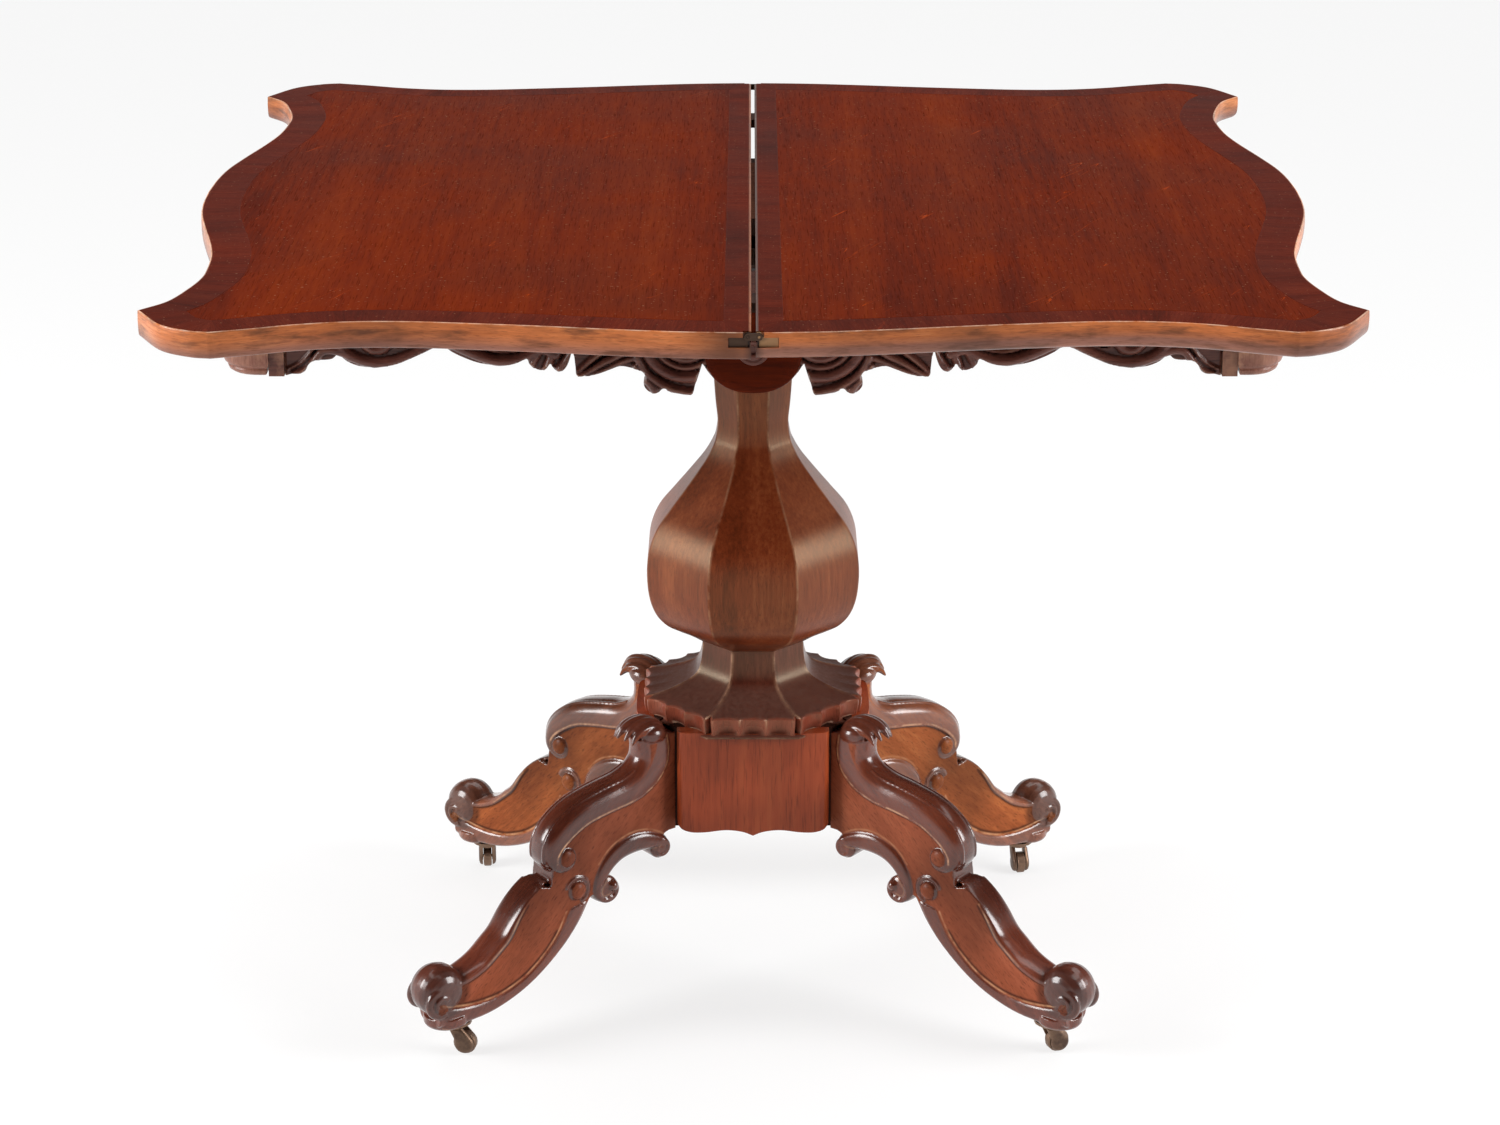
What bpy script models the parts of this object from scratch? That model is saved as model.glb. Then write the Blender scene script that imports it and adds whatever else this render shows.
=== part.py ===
"""A fold-over card table with a swivel top, on an eight-sided pillar and four scrolled legs.

Metres, +Z up. The origin is on the floor under the middle of the open top. +X runs across the two
open leaves and +Y to the back. The top is modelled open, as two leaves that meet on the plane x = 0:
the lower leaf on the -X side turns on the frame, and the flap on the +X side folds over onto it.
"""

import math

import bmesh
import bpy
from mathutils import Vector

# Driving dimensions
TABLE_HEIGHT = 0.745
LEAF_DEPTH = 0.4805
LEAF_WIDTH = 0.921
LEAF_THICKNESS = 0.022
FRAME_HALF_LENGTH = 0.450
FRAME_FRONT = 0.195
FRAME_BACK = 0.225
SKIRT_BOTTOM = 0.264
SKIRT_HEIGHT = 0.0625
HUB_BOTTOM = 0.166
HUB_REACH = 0.1005
LEG_AZIMUTH = math.radians(36.7)
LEG_REACH = 0.2495
LEG_THICKNESS = 0.032
CASTER_HEIGHT = 0.0325

# Clearances
SEAT_GAP = 0.0003
RUNNING_GAP = 0.0005
CUT_OVERRUN = 0.004

# Leaves: edges, gap and veneers
LEAF_GAP = 0.0035
JOINT_ARRIS = 0.002
TOP_ARRIS = 0.0012
LOWER_EDGE_ROUND = 0.003
FLAP_EDGE_ROUND = 0.008
VENEER_THICKNESS = 0.0008
VENEER_INSET = 0.0022
CROSSBAND_WIDTH = 0.033
JOINT_BAND_WIDTH = 0.021

# Leaf outline from the joint line outwards: shares of the leaf's depth and of half its width
FRONT_EDGE_SHARES = (
    (0.000, 1.000), (0.110, 0.994), (0.220, 0.979), (0.330, 0.960), (0.440, 0.944), (0.550, 0.931),
    (0.645, 0.932), (0.728, 0.949), (0.800, 0.976), (0.863, 0.997))
HORN_END_SHARES = ((0.863, 0.997), (0.900, 0.987), (0.951, 0.948), (0.9975, 0.859))
SIDE_EDGE_SHARES = (
    (0.9975, 0.859), (0.959, 0.803), (0.937, 0.725), (0.924, 0.650), (0.923, 0.582), (0.929, 0.489),
    (0.945, 0.395), (0.968, 0.289), (0.988, 0.185), (0.997, 0.095), (1.000, 0.000))

# Folding hinges, let into the front and back edges beside the joint line
HINGE_PIN_DEPTH = 0.0040
CLOSED_GAP = 0.0005
HINGE_PIN_RADIUS = 0.0011
HINGE_PIN_CLEARANCE = 0.0003
HINGE_KNUCKLE_RADIUS = 0.0033
HINGE_LINK_RADIUS = 0.0029
HINGE_LINK_THICKNESS = 0.0015
HINGE_PLATE_THICKNESS = 0.0016
HINGE_TAIL_LENGTH = 0.019
HINGE_TAIL_TOP = 0.0045
HINGE_TAIL_BOTTOM = 0.0120
HINGE_RECESS = 0.0045

# Tenons that line the open flap up with the lower leaf
TENON_OFFSET = 0.335
TENON_WIDTH = 0.030
TENON_THICKNESS = 0.008
TENON_DEPTH = 0.007
TENON_LENGTH = 0.009
TENON_ROOT = 0.014
TENON_SWING = 0.0018

# Swivel under the lower leaf
PIVOT_BOLT_RADIUS = 0.006
PIVOT_BOLT_CLEARANCE = 0.0009
PIVOT_BOLT_TAIL = 0.004
PIVOT_HEAD_RADIUS = 0.011
PIVOT_HEAD_HEIGHT = 0.004
PIVOT_PLATE_SIDE = 0.070
PIVOT_PLATE_THICKNESS = 0.003
WASHER_RADIUS = 0.015
WASHER_THICKNESS = 0.002
NUT_RADIUS = 0.011
NUT_HEIGHT = 0.009

# Frame
APRON_THICKNESS = 0.018
APRON_GROUND = 0.004
APRON_SETBACK = 0.003
APRON_DROP = 0.110
END_APRON_SETBACK = 0.030
BACK_APRON_DROP = 0.062
BLOCK_LENGTH = 0.055
BLOCK_DEPTH = 0.050
BLOCK_ROUND = 0.0325
BLOCK_DROP = 0.0925
BLOCK_FOOT = 0.011
RAIL_WIDTH = 0.080
RAIL_THICKNESS = 0.022
RAIL_RECESS = 0.002
PILLAR_BLOCK_LENGTH = 0.330
PILLAR_BLOCK_DEPTH = 0.170
PILLAR_BLOCK_THICKNESS = 0.030

# Front apron's lower edge from the middle outwards: shares of its half length and of its drop
FRONT_APRON_SHARES = (
    (0.000, 0.973), (0.046, 0.945), (0.084, 0.864), (0.108, 0.764), (0.116, 0.877), (0.128, 0.999),
    (0.157, 0.991), (0.190, 0.955), (0.208, 0.968), (0.224, 0.955), (0.240, 0.880), (0.243, 0.836),
    (0.284, 0.786), (0.316, 0.823), (0.372, 0.850), (0.384, 0.732), (0.400, 0.800), (0.420, 0.809),
    (0.435, 0.764), (0.451, 0.800), (0.471, 0.777), (0.484, 0.723), (0.524, 0.759), (0.570, 0.755),
    (0.620, 0.705), (0.665, 0.627), (0.722, 0.695), (0.767, 0.750), (0.815, 0.777), (0.856, 0.750),
    (0.886, 0.705), (0.901, 0.727), (0.934, 0.732), (0.947, 0.805), (0.970, 0.836), (1.000, 0.841))
LARGE_SCROLL_RECESS_SHARES = (
    (0.461, 0.614), (0.494, 0.668), (0.532, 0.695), (0.582, 0.668), (0.625, 0.595), (0.587, 0.495),
    (0.537, 0.468), (0.491, 0.505))
SMALL_SCROLL_RECESS_SHARES = (
    (0.729, 0.614), (0.759, 0.677), (0.805, 0.705), (0.846, 0.677), (0.868, 0.605), (0.843, 0.514),
    (0.800, 0.477), (0.757, 0.523))
RING_PLACE_SHARE = (0.1435, 0.525)
RING_RECESS_RADIUS = 0.021
RING_ROLL_RADIUS = 0.026
RING_BEAD_RADIUS = 0.0045
# The end aprons' lower edge, in the same shares of their own half length and the same drop
END_APRON_SHARES = (
    (0.00, 0.82), (0.08, 0.78), (0.16, 0.66), (0.20, 0.60), (0.29, 0.69), (0.40, 0.75), (0.50, 0.76),
    (0.60, 0.74), (0.70, 0.67), (0.76, 0.60), (0.82, 0.66), (0.86, 0.76), (0.92, 0.82), (1.00, 0.84))

# Pillar: shares of its height and of the belly's apothem
PILLAR_BELLY_APOTHEM = 0.0959
PILLAR_SIDES = 8
PILLAR_PROFILE_SHARES = (
    (0.000, 0.485), (0.018, 0.626), (0.037, 0.773), (0.058, 0.900), (0.094, 0.973), (0.137, 0.998),
    (0.191, 1.000), (0.250, 0.988), (0.308, 0.956), (0.355, 0.895), (0.402, 0.787), (0.452, 0.610),
    (0.505, 0.453), (0.543, 0.380), (0.568, 0.349), (0.613, 0.331), (0.675, 0.351), (0.801, 0.386),
    (0.918, 0.448), (1.000, 0.500))
SPIGOT_RADIUS = 0.022
SPIGOT_CLEARANCE = 0.0006
LOWER_SPIGOT_LENGTH = 0.110
TOP_SPIGOT_LENGTH = 0.022

# Skirt: height above the rim as a share, and the flare from neck to rim as a share
SKIRT_NECK_APOTHEM = 0.0459
SKIRT_RIM_APOTHEM = 0.101
SKIRT_RIM_SQUASH = 0.06
SKIRT_RIM_HEIGHT = 0.015
SKIRT_FLARE_SHARES = (
    (0.000, 1.000), (0.050, 0.740), (0.105, 0.540), (0.162, 0.397), (0.250, 0.230), (0.358, 0.113),
    (0.500, 0.052), (0.700, 0.018), (1.000, 0.000))
SCALLOP_FADE_SHARES = (1.00, 0.70, 0.45, 0.25, 0.10, 0.00, 0.00, 0.00, 0.00)
RIM_NOTCH_DEPTH = 0.007
RIM_FLUTE_DEPTH = 0.003
# Places along one side of the rim, with the shares of the notch and flute depths cut there
RIM_SIDE_SHARES = ((0.00, 1.0, 0.0), (0.08, 0.0, 0.0), (0.29, 0.0, 1.0), (0.50, 0.0, 0.0),
                   (0.71, 0.0, 1.0), (0.92, 0.0, 0.0))

# Hub boards between the legs
BOARD_THICKNESS = 0.012
BOARD_BOW = 0.005
BOARD_END_GAP = 0.002
BOARD_POINT_DROP = 0.003
BOARD_BOW_SHARES = ((1.00, -0.60), (0.97, 0.10), (0.88, 0.60), (0.60, 0.90), (0.00, 1.00))
BOARD_EDGE_SHARES = ((1.00, 2.00), (0.93, 0.60), (0.80, -0.10), (0.62, 0.05), (0.36, 0.80),
                     (0.14, 0.25), (0.00, -1.00))
DOVETAIL_LENGTH = 0.012
DOVETAIL_NECK = 0.014
DOVETAIL_FLARE = 0.020

# Legs: outlines as shares of the leg's reach from the hub and of its rise from the caster
LEG_ROLL_SHARES = (
    (0.074, 0.986), (0.081, 0.873), (0.119, 0.799), (0.185, 0.754), (0.270, 0.737), (0.367, 0.712),
    (0.440, 0.668), (0.488, 0.620), (0.510, 0.574), (0.503, 0.552), (0.488, 0.541), (0.474, 0.542))
LEG_ROLL_WIDTH_SHARES = (0.92, 1.0, 1.0, 1.0, 1.0, 1.0, 1.0, 1.0, 1.0, 0.97, 0.86, 0.68)
LEG_CROWN_SHARES = (
    (0.510, 0.490), (0.545, 0.508), (0.585, 0.493), (0.632, 0.435), (0.684, 0.343), (0.741, 0.257),
    (0.799, 0.205), (0.862, 0.175), (0.950, 0.153))
LEG_WEB_UPPER_SHARES = (
    (0.074, 0.986), (0.081, 0.873), (0.119, 0.799), (0.185, 0.754), (0.270, 0.737), (0.367, 0.712),
    (0.440, 0.668), (0.488, 0.620), (0.500, 0.560), (0.520, 0.490), (0.575, 0.480), (0.620, 0.425),
    (0.672, 0.333), (0.731, 0.247), (0.793, 0.192), (0.860, 0.160), (0.950, 0.140))
LEG_LOWER_EDGE_SHARES = (
    (0.352, 0.368), (0.417, 0.292), (0.493, 0.187), (0.601, 0.083), (0.729, 0.017), (0.854, 0.000),
    (0.946, 0.000), (1.000, 0.032))
LEG_BEAD_SHARES = (
    (0.399, 0.416), (0.469, 0.382), (0.512, 0.300), (0.578, 0.203), (0.663, 0.124), (0.769, 0.073),
    (0.873, 0.059), (0.975, 0.084))
LEG_BRACKET_OUTER_SHARES = (
    (0.024, 0.550), (0.042, 0.584), (0.067, 0.599), (0.121, 0.612), (0.186, 0.612), (0.263, 0.586),
    (0.317, 0.528), (0.350, 0.453), (0.351, 0.398), (0.319, 0.358))
LEG_BRACKET_INNER_SHARES = (
    (0.279, 0.373), (0.263, 0.416), (0.232, 0.449), (0.178, 0.486), (0.123, 0.502), (0.094, 0.494),
    (0.068, 0.481))
LEG_WEB_UNDER_SHARES = (
    (0.375, 0.425), (0.335, 0.425), (0.330, 0.480), (0.255, 0.550), (0.180, 0.580), (0.090, 0.570),
    (0.000, 0.566))
INNER_VOLUTE_SHARE = (0.072, 0.524)
OUTER_VOLUTE_SHARE = (0.271, 0.407)
BUTTON_SHARE = (0.430, 0.440)
KNUCKLE_EYE_SHARE = (0.486, 0.568)
FOOT_SHARE = (1.000, 0.129)
FOOT_EYE_SHARE = (1.028, 0.108)
CASTER_PLACE_SHARE = 0.928
CREST_PATH_SHARES = ((0.070, 0.940), (0.076, 0.985), (0.104, 1.007), (0.155, 1.008), (0.205, 0.978))
CREST_WIDTH_SHARES = (1.00, 1.00, 0.90, 0.70, 0.40)
LEG_ROLL_RADIUS = 0.0185
LEG_ROLL_LIP = 0.004
LEG_CROWN_HEIGHT = 0.0060
LEG_CROWN_WIDTH = 0.029
LEG_RELIEF = 0.0015
INNER_VOLUTE_RADIUS = 0.0105
OUTER_VOLUTE_RADIUS = 0.0080
BUTTON_RADIUS = 0.0098
KNUCKLE_EYE_RADIUS = 0.0085
EYE_RELIEF = 0.004
FOOT_RADIUS = 0.0245
FOOT_HALF_WIDTH = 0.020
FOOT_EYE_RADIUS = 0.0065
# Turned foot scroll: shares of the foot's radius and of its half width
FOOT_PROFILE_SHARES = ((0.60, 1.00), (0.67, 0.92), (0.69, 0.66), (0.88, 0.60), (0.98, 0.40), (1.00, 0.00))
CREST_RADIUS = 0.0085
CREST_SPREAD = 0.0115
TOE_PAD_SHARE = (0.965, 0.000)
TOE_PAD_RADIUS = 0.018
TOE_PAD_HEIGHT = 0.009

# Castors
CASTER_PLATE_RADIUS = 0.014
CASTER_PLATE_THICKNESS = 0.0025
PINTLE_RADIUS = 0.0045
PINTLE_LENGTH = 0.020
PINTLE_CLEARANCE = 0.0006
FORK_CROWN_RADIUS = 0.0085
FORK_CROWN_THICKNESS = 0.0035
CHEEK_THICKNESS = 0.0022
CHEEK_ROUND = 0.0042
CHEEK_GAP = 0.0004
CASTER_TRAIL = 0.008
WHEEL_RADIUS = 0.0105
WHEEL_WIDTH = 0.008
WHEEL_CROWN = 0.0012
AXLE_RADIUS = 0.0015
AXLE_CLEARANCE = 0.0003
# The way each wheel trails from its pintle, in degrees from +X
CASTER_TRAIL_ANGLES = {"front_left": 350.0, "front_right": 25.0, "back_left": 95.0, "back_right": 280.0}

# Facets
ROUND_SIDES = 16
SMALL_SIDES = 12
WHEEL_SIDES = 20
CURVE_STEPS = 2
LEG_CURVE_STEPS = 1
ROLL_ARCH_SIDES = 6
CROWN_ARCH_SIDES = 4
FINGER_SIDES = 6

# Heights and places that follow from the sizes above
LEAF_UNDERSIDE = TABLE_HEIGHT - LEAF_THICKNESS
FRAME_TOP = LEAF_UNDERSIDE - RUNNING_GAP
RAIL_TOP = FRAME_TOP - RAIL_RECESS
RAIL_BOTTOM = RAIL_TOP - RAIL_THICKNESS
PILLAR_BLOCK_TOP = RAIL_BOTTOM - SEAT_GAP
PILLAR_BLOCK_BOTTOM = PILLAR_BLOCK_TOP - PILLAR_BLOCK_THICKNESS
PILLAR_TOP = PILLAR_BLOCK_BOTTOM - SEAT_GAP
SKIRT_TOP = SKIRT_BOTTOM + SKIRT_HEIGHT
PILLAR_BOTTOM = SKIRT_TOP + SEAT_GAP
HUB_TOP = SKIRT_BOTTOM - SEAT_GAP
LEG_RISE = HUB_TOP - CASTER_HEIGHT
PIVOT_PLACE = LEAF_DEPTH / 4
HINGE_PIN_OFFSET = HINGE_PIN_DEPTH + CLOSED_GAP / 2
JOINT_EDGE = LEAF_GAP / 2
HALF_WIDTH = LEAF_WIDTH / 2
TENON_TOP = TABLE_HEIGHT - TENON_DEPTH
TENON_BOTTOM = TENON_TOP - TENON_THICKNESS
LEGS = {"front_left": (-1, -1), "front_right": (1, -1), "back_left": (-1, 1), "back_right": (1, 1)}

# Colours (linear red, green, blue), roughness and metallic value of each kind of surface
FIELD_FINISH = ((0.165, 0.034, 0.012), 0.30, 0.0)
CROSSBAND_FINISH = ((0.090, 0.016, 0.010), 0.28, 0.0)
EDGE_FINISH = ((0.330, 0.115, 0.042), 0.45, 0.0)
FRAME_FINISH = ((0.075, 0.027, 0.015), 0.45, 0.0)
PILLAR_FINISH = ((0.120, 0.036, 0.016), 0.38, 0.0)
LEG_FINISH = ((0.130, 0.035, 0.015), 0.35, 0.0)
INNER_WOOD_FINISH = ((0.300, 0.160, 0.075), 0.70, 0.0)
BRASS_FINISH = ((0.420, 0.300, 0.140), 0.38, 1.0)
STEEL_FINISH = ((0.180, 0.170, 0.160), 0.50, 1.0)


# Mesh helpers
def clear_scene():
    """Removes whatever objects the scene holds."""
    for item in list(bpy.data.objects):
        bpy.data.objects.remove(item, do_unlink=True)


def solid(name, build):
    """Makes an object from the bmesh that build fills, with its faces turned outwards."""
    shape = bmesh.new()
    build(shape)
    bmesh.ops.recalc_face_normals(shape, faces=shape.faces)
    mesh = bpy.data.meshes.new(name)
    shape.to_mesh(mesh)
    shape.free()
    item = bpy.data.objects.new(name, mesh)
    bpy.context.scene.collection.objects.link(item)
    return item


def loft(name, rings):
    """Joins rings of as many points each, and closes the first and the last with a flat face."""
    def build(shape):
        rows = [[shape.verts.new(point) for point in ring] for ring in rings]
        for below, above in zip(rows, rows[1:]):
            for here in range(len(below)):
                after = (here + 1) % len(below)
                shape.faces.new((below[here], below[after], above[after], above[here]))
        shape.faces.new(list(reversed(rows[0])))
        shape.faces.new(rows[-1])
    return solid(name, build)


def lift(point, axis, height):
    """A point of a plane outline, set at a height along the axis that is square to the plane."""
    if axis == "Z":
        return Vector((point[0], point[1], height))
    if axis == "Y":
        return Vector((point[0], height, point[1]))
    return Vector((height, point[0], point[1]))


def prism(name, outline, axis, low, high):
    """A straight solid on a plane outline."""
    return loft(name, [[lift(point, axis, height) for point in outline] for height in (low, high)])


def box(name, low, high):
    """A solid between two corners."""
    outline = ((low[0], low[1]), (high[0], low[1]), (high[0], high[1]), (low[0], high[1]))
    return prism(name, outline, "Z", low[2], high[2])


def circle(radius, sides, centre=(0, 0), turn=0.0):
    """Points of a circle, anticlockwise."""
    angles = [turn + 2 * math.pi * count / sides for count in range(sides)]
    return [(centre[0] + radius * math.cos(angle), centre[1] + radius * math.sin(angle))
            for angle in angles]


def turned(name, profile, axis, centre, sides=ROUND_SIDES, turn=0.0):
    """A turned solid: the profile's pairs are a radius and a height along the axis."""
    rings = [[lift(point, axis, height) for point in circle(radius, sides, centre, turn)]
             for radius, height in profile]
    return loft(name, rings)


def bar(name, radius, axis, centre, low, high, sides=SMALL_SIDES):
    """A plain round bar."""
    return turned(name, ((radius, low), (radius, high)), axis, centre, sides)


def combine(base, tools, operation="UNION"):
    """Joins the tools to the base solid, or cuts them from it, and removes them."""
    for tool in tools:
        tool.hide_render = True
        tool.display_type = "WIRE"
        step = base.modifiers.new(operation.lower(), "BOOLEAN")
        step.operation = operation
        step.solver = "EXACT"
        step.object = tool
    bpy.context.view_layer.update()
    depsgraph = bpy.context.evaluated_depsgraph_get()
    mesh = bpy.data.meshes.new_from_object(base.evaluated_get(depsgraph))
    base.modifiers.clear()
    base.data = mesh
    for tool in tools:
        bpy.data.objects.remove(tool, do_unlink=True)
    return base


def cut(base, tools):
    """Cuts the tools from the base solid."""
    return combine(base, tools, "DIFFERENCE")


def smooth_curve(points, steps=CURVE_STEPS):
    """Points on a smooth curve through the given ones, with so many steps to each span."""
    points = [Vector(point) for point in points]
    ends = [2 * points[0] - points[1]] + points + [2 * points[-1] - points[-2]]
    curve = []
    for before, start, stop, after in zip(ends, ends[1:], ends[2:], ends[3:]):
        for count in range(steps):
            share = count / steps
            curve.append(0.5 * (2 * start + (stop - before) * share
                                + (2 * before - 5 * start + 4 * stop - after) * share ** 2
                                + (3 * start - before - 3 * stop + after) * share ** 3))
    return curve + [points[-1]]


def smooth_values(values, steps=CURVE_STEPS):
    """Values that run evenly between the given ones, one for each point of the smooth curve."""
    runs = []
    for start, stop in zip(values, values[1:]):
        runs += [start + (stop - start) * count / steps for count in range(steps)]
    return runs + [values[-1]]


def offset_outline(outline, insets, prune=False):
    """Moves each side of an anticlockwise outline inwards by its own inset.

    Side number i runs from point i to the next one. With prune, sides that a wide inset turns
    round at a sharp corner are left out.
    """
    lines = []
    for here, inset in enumerate(insets):
        start = Vector(outline[here])
        along = (Vector(outline[(here + 1) % len(outline)]) - start).normalized()
        inwards = Vector((-along.y, along.x))
        lines.append((start + inwards * inset, along))
    while True:
        corners = [line_corner(lines[index - 1], lines[index]) for index in range(len(lines))]
        runs = [(corners[(index + 1) % len(lines)] - corners[index]).dot(lines[index][1])
                for index in range(len(lines))]
        if not prune or min(runs) > 0:
            return corners
        lines.pop(runs.index(min(runs)))


def line_corner(first, second):
    """Where two lines of the plane meet, or the point between them when they run the same way."""
    (start, along), (other, aside) = first, second
    crossing = along.x * aside.y - along.y * aside.x
    if abs(crossing) < math.radians(1):
        midway = along + aside
        middle = (start + other) / 2
        return middle + midway * ((other - middle).dot(midway) / midway.length_squared)
    gap = other - start
    return start + along * ((gap.x * aside.y - gap.y * aside.x) / crossing)


def finish(item, name, look, sharp=30.0):
    """Names a piece, shades its round faces smooth and gives it its own material."""
    colour, roughness, metallic = look
    item.name = name
    item.data.name = name
    material = bpy.data.materials.new(name)
    material.use_nodes = True
    surface = material.node_tree.nodes["Principled BSDF"]
    surface.inputs["Base Color"].default_value = (*colour, 1.0)
    surface.inputs["Roughness"].default_value = roughness
    surface.inputs["Metallic"].default_value = metallic
    item.data.materials.clear()
    item.data.materials.append(material)
    item.data.shade_smooth()
    item.data.set_sharp_from_angle(angle=math.radians(sharp))
    return item


def axis_empty(name, place, parent=None):
    """An empty on a joint's axis, in world coordinates, hung on the body that carries the joint."""
    empty = bpy.data.objects.new(name, None)
    bpy.context.scene.collection.objects.link(empty)
    empty.parent = parent
    empty["place"] = place
    held = Vector(parent["place"]) if parent else Vector()
    empty.location = Vector(place) - held
    return empty


def carry(empty, items):
    """Hangs finished pieces on a joint's empty and leaves them where they are."""
    for item in items:
        item.parent = empty
        item.location = -Vector(empty["place"])


# Leaves
def leaf_outline(side):
    """One leaf's outline, anticlockwise from the joint line's end, and the number of its joint side."""
    def place(share):
        return (JOINT_EDGE + share[0] * (LEAF_DEPTH - JOINT_EDGE), share[1] * HALF_WIDTH)
    quarter = smooth_curve([place(share) for share in FRONT_EDGE_SHARES])[:-1]
    quarter += smooth_curve([place(share) for share in HORN_END_SHARES])[:-1]
    quarter += smooth_curve([place(share) for share in SIDE_EDGE_SHARES])
    right = [(x, -y) for x, y in quarter] + [(x, y) for x, y in reversed(quarter[:-1])]
    if side > 0:
        return right
    return [(-x, y) for x, y in reversed(right)]


def leaf_insets(outline, edge_inset, joint_inset):
    """An inset for each side of a leaf's outline: its last side is the joint edge."""
    return [edge_inset] * (len(outline) - 1) + [joint_inset]


def leaf_ring(side, edge_inset, joint_inset, height):
    """The leaf's outline, drawn in from its shaped edge and its joint edge, at a height."""
    outline = leaf_outline(side)
    ring = offset_outline(outline, leaf_insets(outline, edge_inset, joint_inset))
    return [lift(point, "Z", height) for point in ring]


def rounded_edge(radius, height, turn, steps):
    """Insets and heights round a quarter of a moulded edge: turn is -1 at the underside, 1 on top."""
    angles = [math.radians(90 * count / steps) for count in range(steps + 1)]
    rows = [(radius * (1 - math.cos(angle)), height + turn * radius * math.sin(angle))
            for angle in angles]
    return list(reversed(rows)) if turn < 0 else rows


def leaf_board(name, side, edge_round, steps):
    """A leaf's solid board, with its moulded edge and the shallow bed of its veneers."""
    bed = TABLE_HEIGHT - VENEER_THICKNESS - SEAT_GAP
    rings = []
    for inset, height in rounded_edge(edge_round, LEAF_UNDERSIDE + edge_round, -1, steps):
        rings.append(leaf_ring(side, inset, 0, height))
    for inset, height in rounded_edge(JOINT_ARRIS, TABLE_HEIGHT - JOINT_ARRIS, 1, 1):
        rings.append(leaf_ring(side, inset * TOP_ARRIS / JOINT_ARRIS, inset, height))
    rings.append(leaf_ring(side, VENEER_INSET, joint_veneer_inset(), TABLE_HEIGHT))
    rings.append(leaf_ring(side, VENEER_INSET, joint_veneer_inset(), bed))
    return loft(name, rings)


def joint_veneer_inset():
    """How far the veneers' bed keeps from the joint edge."""
    return max(VENEER_INSET, JOINT_ARRIS + SEAT_GAP)


def veneer_sheet(name, side, edge_inset, joint_inset, overrun=0.0):
    """A sheet of veneer in the leaf's bed, drawn in from the edges."""
    outline = leaf_outline(side)
    sheet = offset_outline(outline, leaf_insets(outline, edge_inset, joint_inset), prune=True)
    return prism(name, sheet, "Z", TABLE_HEIGHT - VENEER_THICKNESS - overrun, TABLE_HEIGHT + overrun)


def field_veneer(name, side):
    """The wide veneer in the middle of a leaf."""
    sheet = veneer_sheet(name, side, CROSSBAND_WIDTH + SEAT_GAP, JOINT_BAND_WIDTH + SEAT_GAP)
    return finish(sheet, name, FIELD_FINISH)


def crossband(name, side):
    """The border of cross-grained veneer, notched where the hinges come up through it."""
    edge = VENEER_INSET + SEAT_GAP
    joint = joint_veneer_inset() + SEAT_GAP
    band = veneer_sheet(name, side, edge, joint)
    middle = veneer_sheet("middle", side, CROSSBAND_WIDTH, JOINT_BAND_WIDTH, CUT_OVERRUN)
    cut(band, [middle] + [hinge_well(side, end, SEAT_GAP) for end in (-1, 1)])
    return finish(band, name, CROSSBAND_FINISH)


# Folding hinges: side is -1 on the lower leaf and 1 on the flap, end is -1 in front and 1 at the back
def hinge_floor(end):
    """The depth, along Y, of the recess that holds a hinge."""
    return end * (HALF_WIDTH - HINGE_RECESS)


def span(first, second):
    """Two values in rising order."""
    return min(first, second), max(first, second)


def hinge_box(name, side, end, near, far, low, high, floor_gap=0.0):
    """A cutter from the joint line outwards, and from the recess's floor out past the leaf's edge."""
    x_low, x_high = span(side * near, side * far)
    y_low, y_high = span(hinge_floor(end) - end * floor_gap, end * (HALF_WIDTH + CUT_OVERRUN))
    return box(name, (x_low, y_low, low), (x_high, y_high, high))


def hinge_well(side, end, extra=0.0):
    """The part of the recess that is open on top, where the knuckle and the link turn."""
    far = HINGE_PIN_OFFSET + HINGE_KNUCKLE_RADIUS + 2 * SEAT_GAP + extra
    low = TABLE_HEIGHT - HINGE_PIN_DEPTH - HINGE_KNUCKLE_RADIUS - 2 * SEAT_GAP
    return hinge_box("well", side, end, 0, far, low, TABLE_HEIGHT + CUT_OVERRUN, extra)


def hinge_tail_bed(side, end):
    """The closed part of the recess, round the plate's tail."""
    return hinge_box("tail bed", side, end, HINGE_PIN_OFFSET - SEAT_GAP, HINGE_TAIL_LENGTH + SEAT_GAP,
                     TABLE_HEIGHT - HINGE_TAIL_BOTTOM - SEAT_GAP, TABLE_HEIGHT - HINGE_TAIL_TOP + SEAT_GAP)


def hinge_pin_place(side):
    """The pin's place in the XZ plane."""
    return (side * HINGE_PIN_OFFSET, TABLE_HEIGHT - HINGE_PIN_DEPTH)


def hinge_plate(name, side, end):
    """A brass plate let into a leaf's edge: a round knuckle with its pin, and a tail for the screws."""
    back = hinge_floor(end) + end * SEAT_GAP
    front = back + end * HINGE_PLATE_THICKNESS
    pin_end = front + end * (HINGE_LINK_THICKNESS + 2 * SEAT_GAP)
    plate = bar(name, HINGE_KNUCKLE_RADIUS, "Y", hinge_pin_place(side), *span(back, front), ROUND_SIDES)
    x_low, x_high = span(side * HINGE_PIN_OFFSET, side * HINGE_TAIL_LENGTH)
    y_low, y_high = span(back, front)
    tail = box("tail", (x_low, y_low, TABLE_HEIGHT - HINGE_TAIL_BOTTOM),
               (x_high, y_high, TABLE_HEIGHT - HINGE_TAIL_TOP))
    pin = bar("pin", HINGE_PIN_RADIUS, "Y", hinge_pin_place(side), *span((back + front) / 2, pin_end))
    return finish(combine(plate, [tail, pin]), name, BRASS_FINISH)


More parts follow.
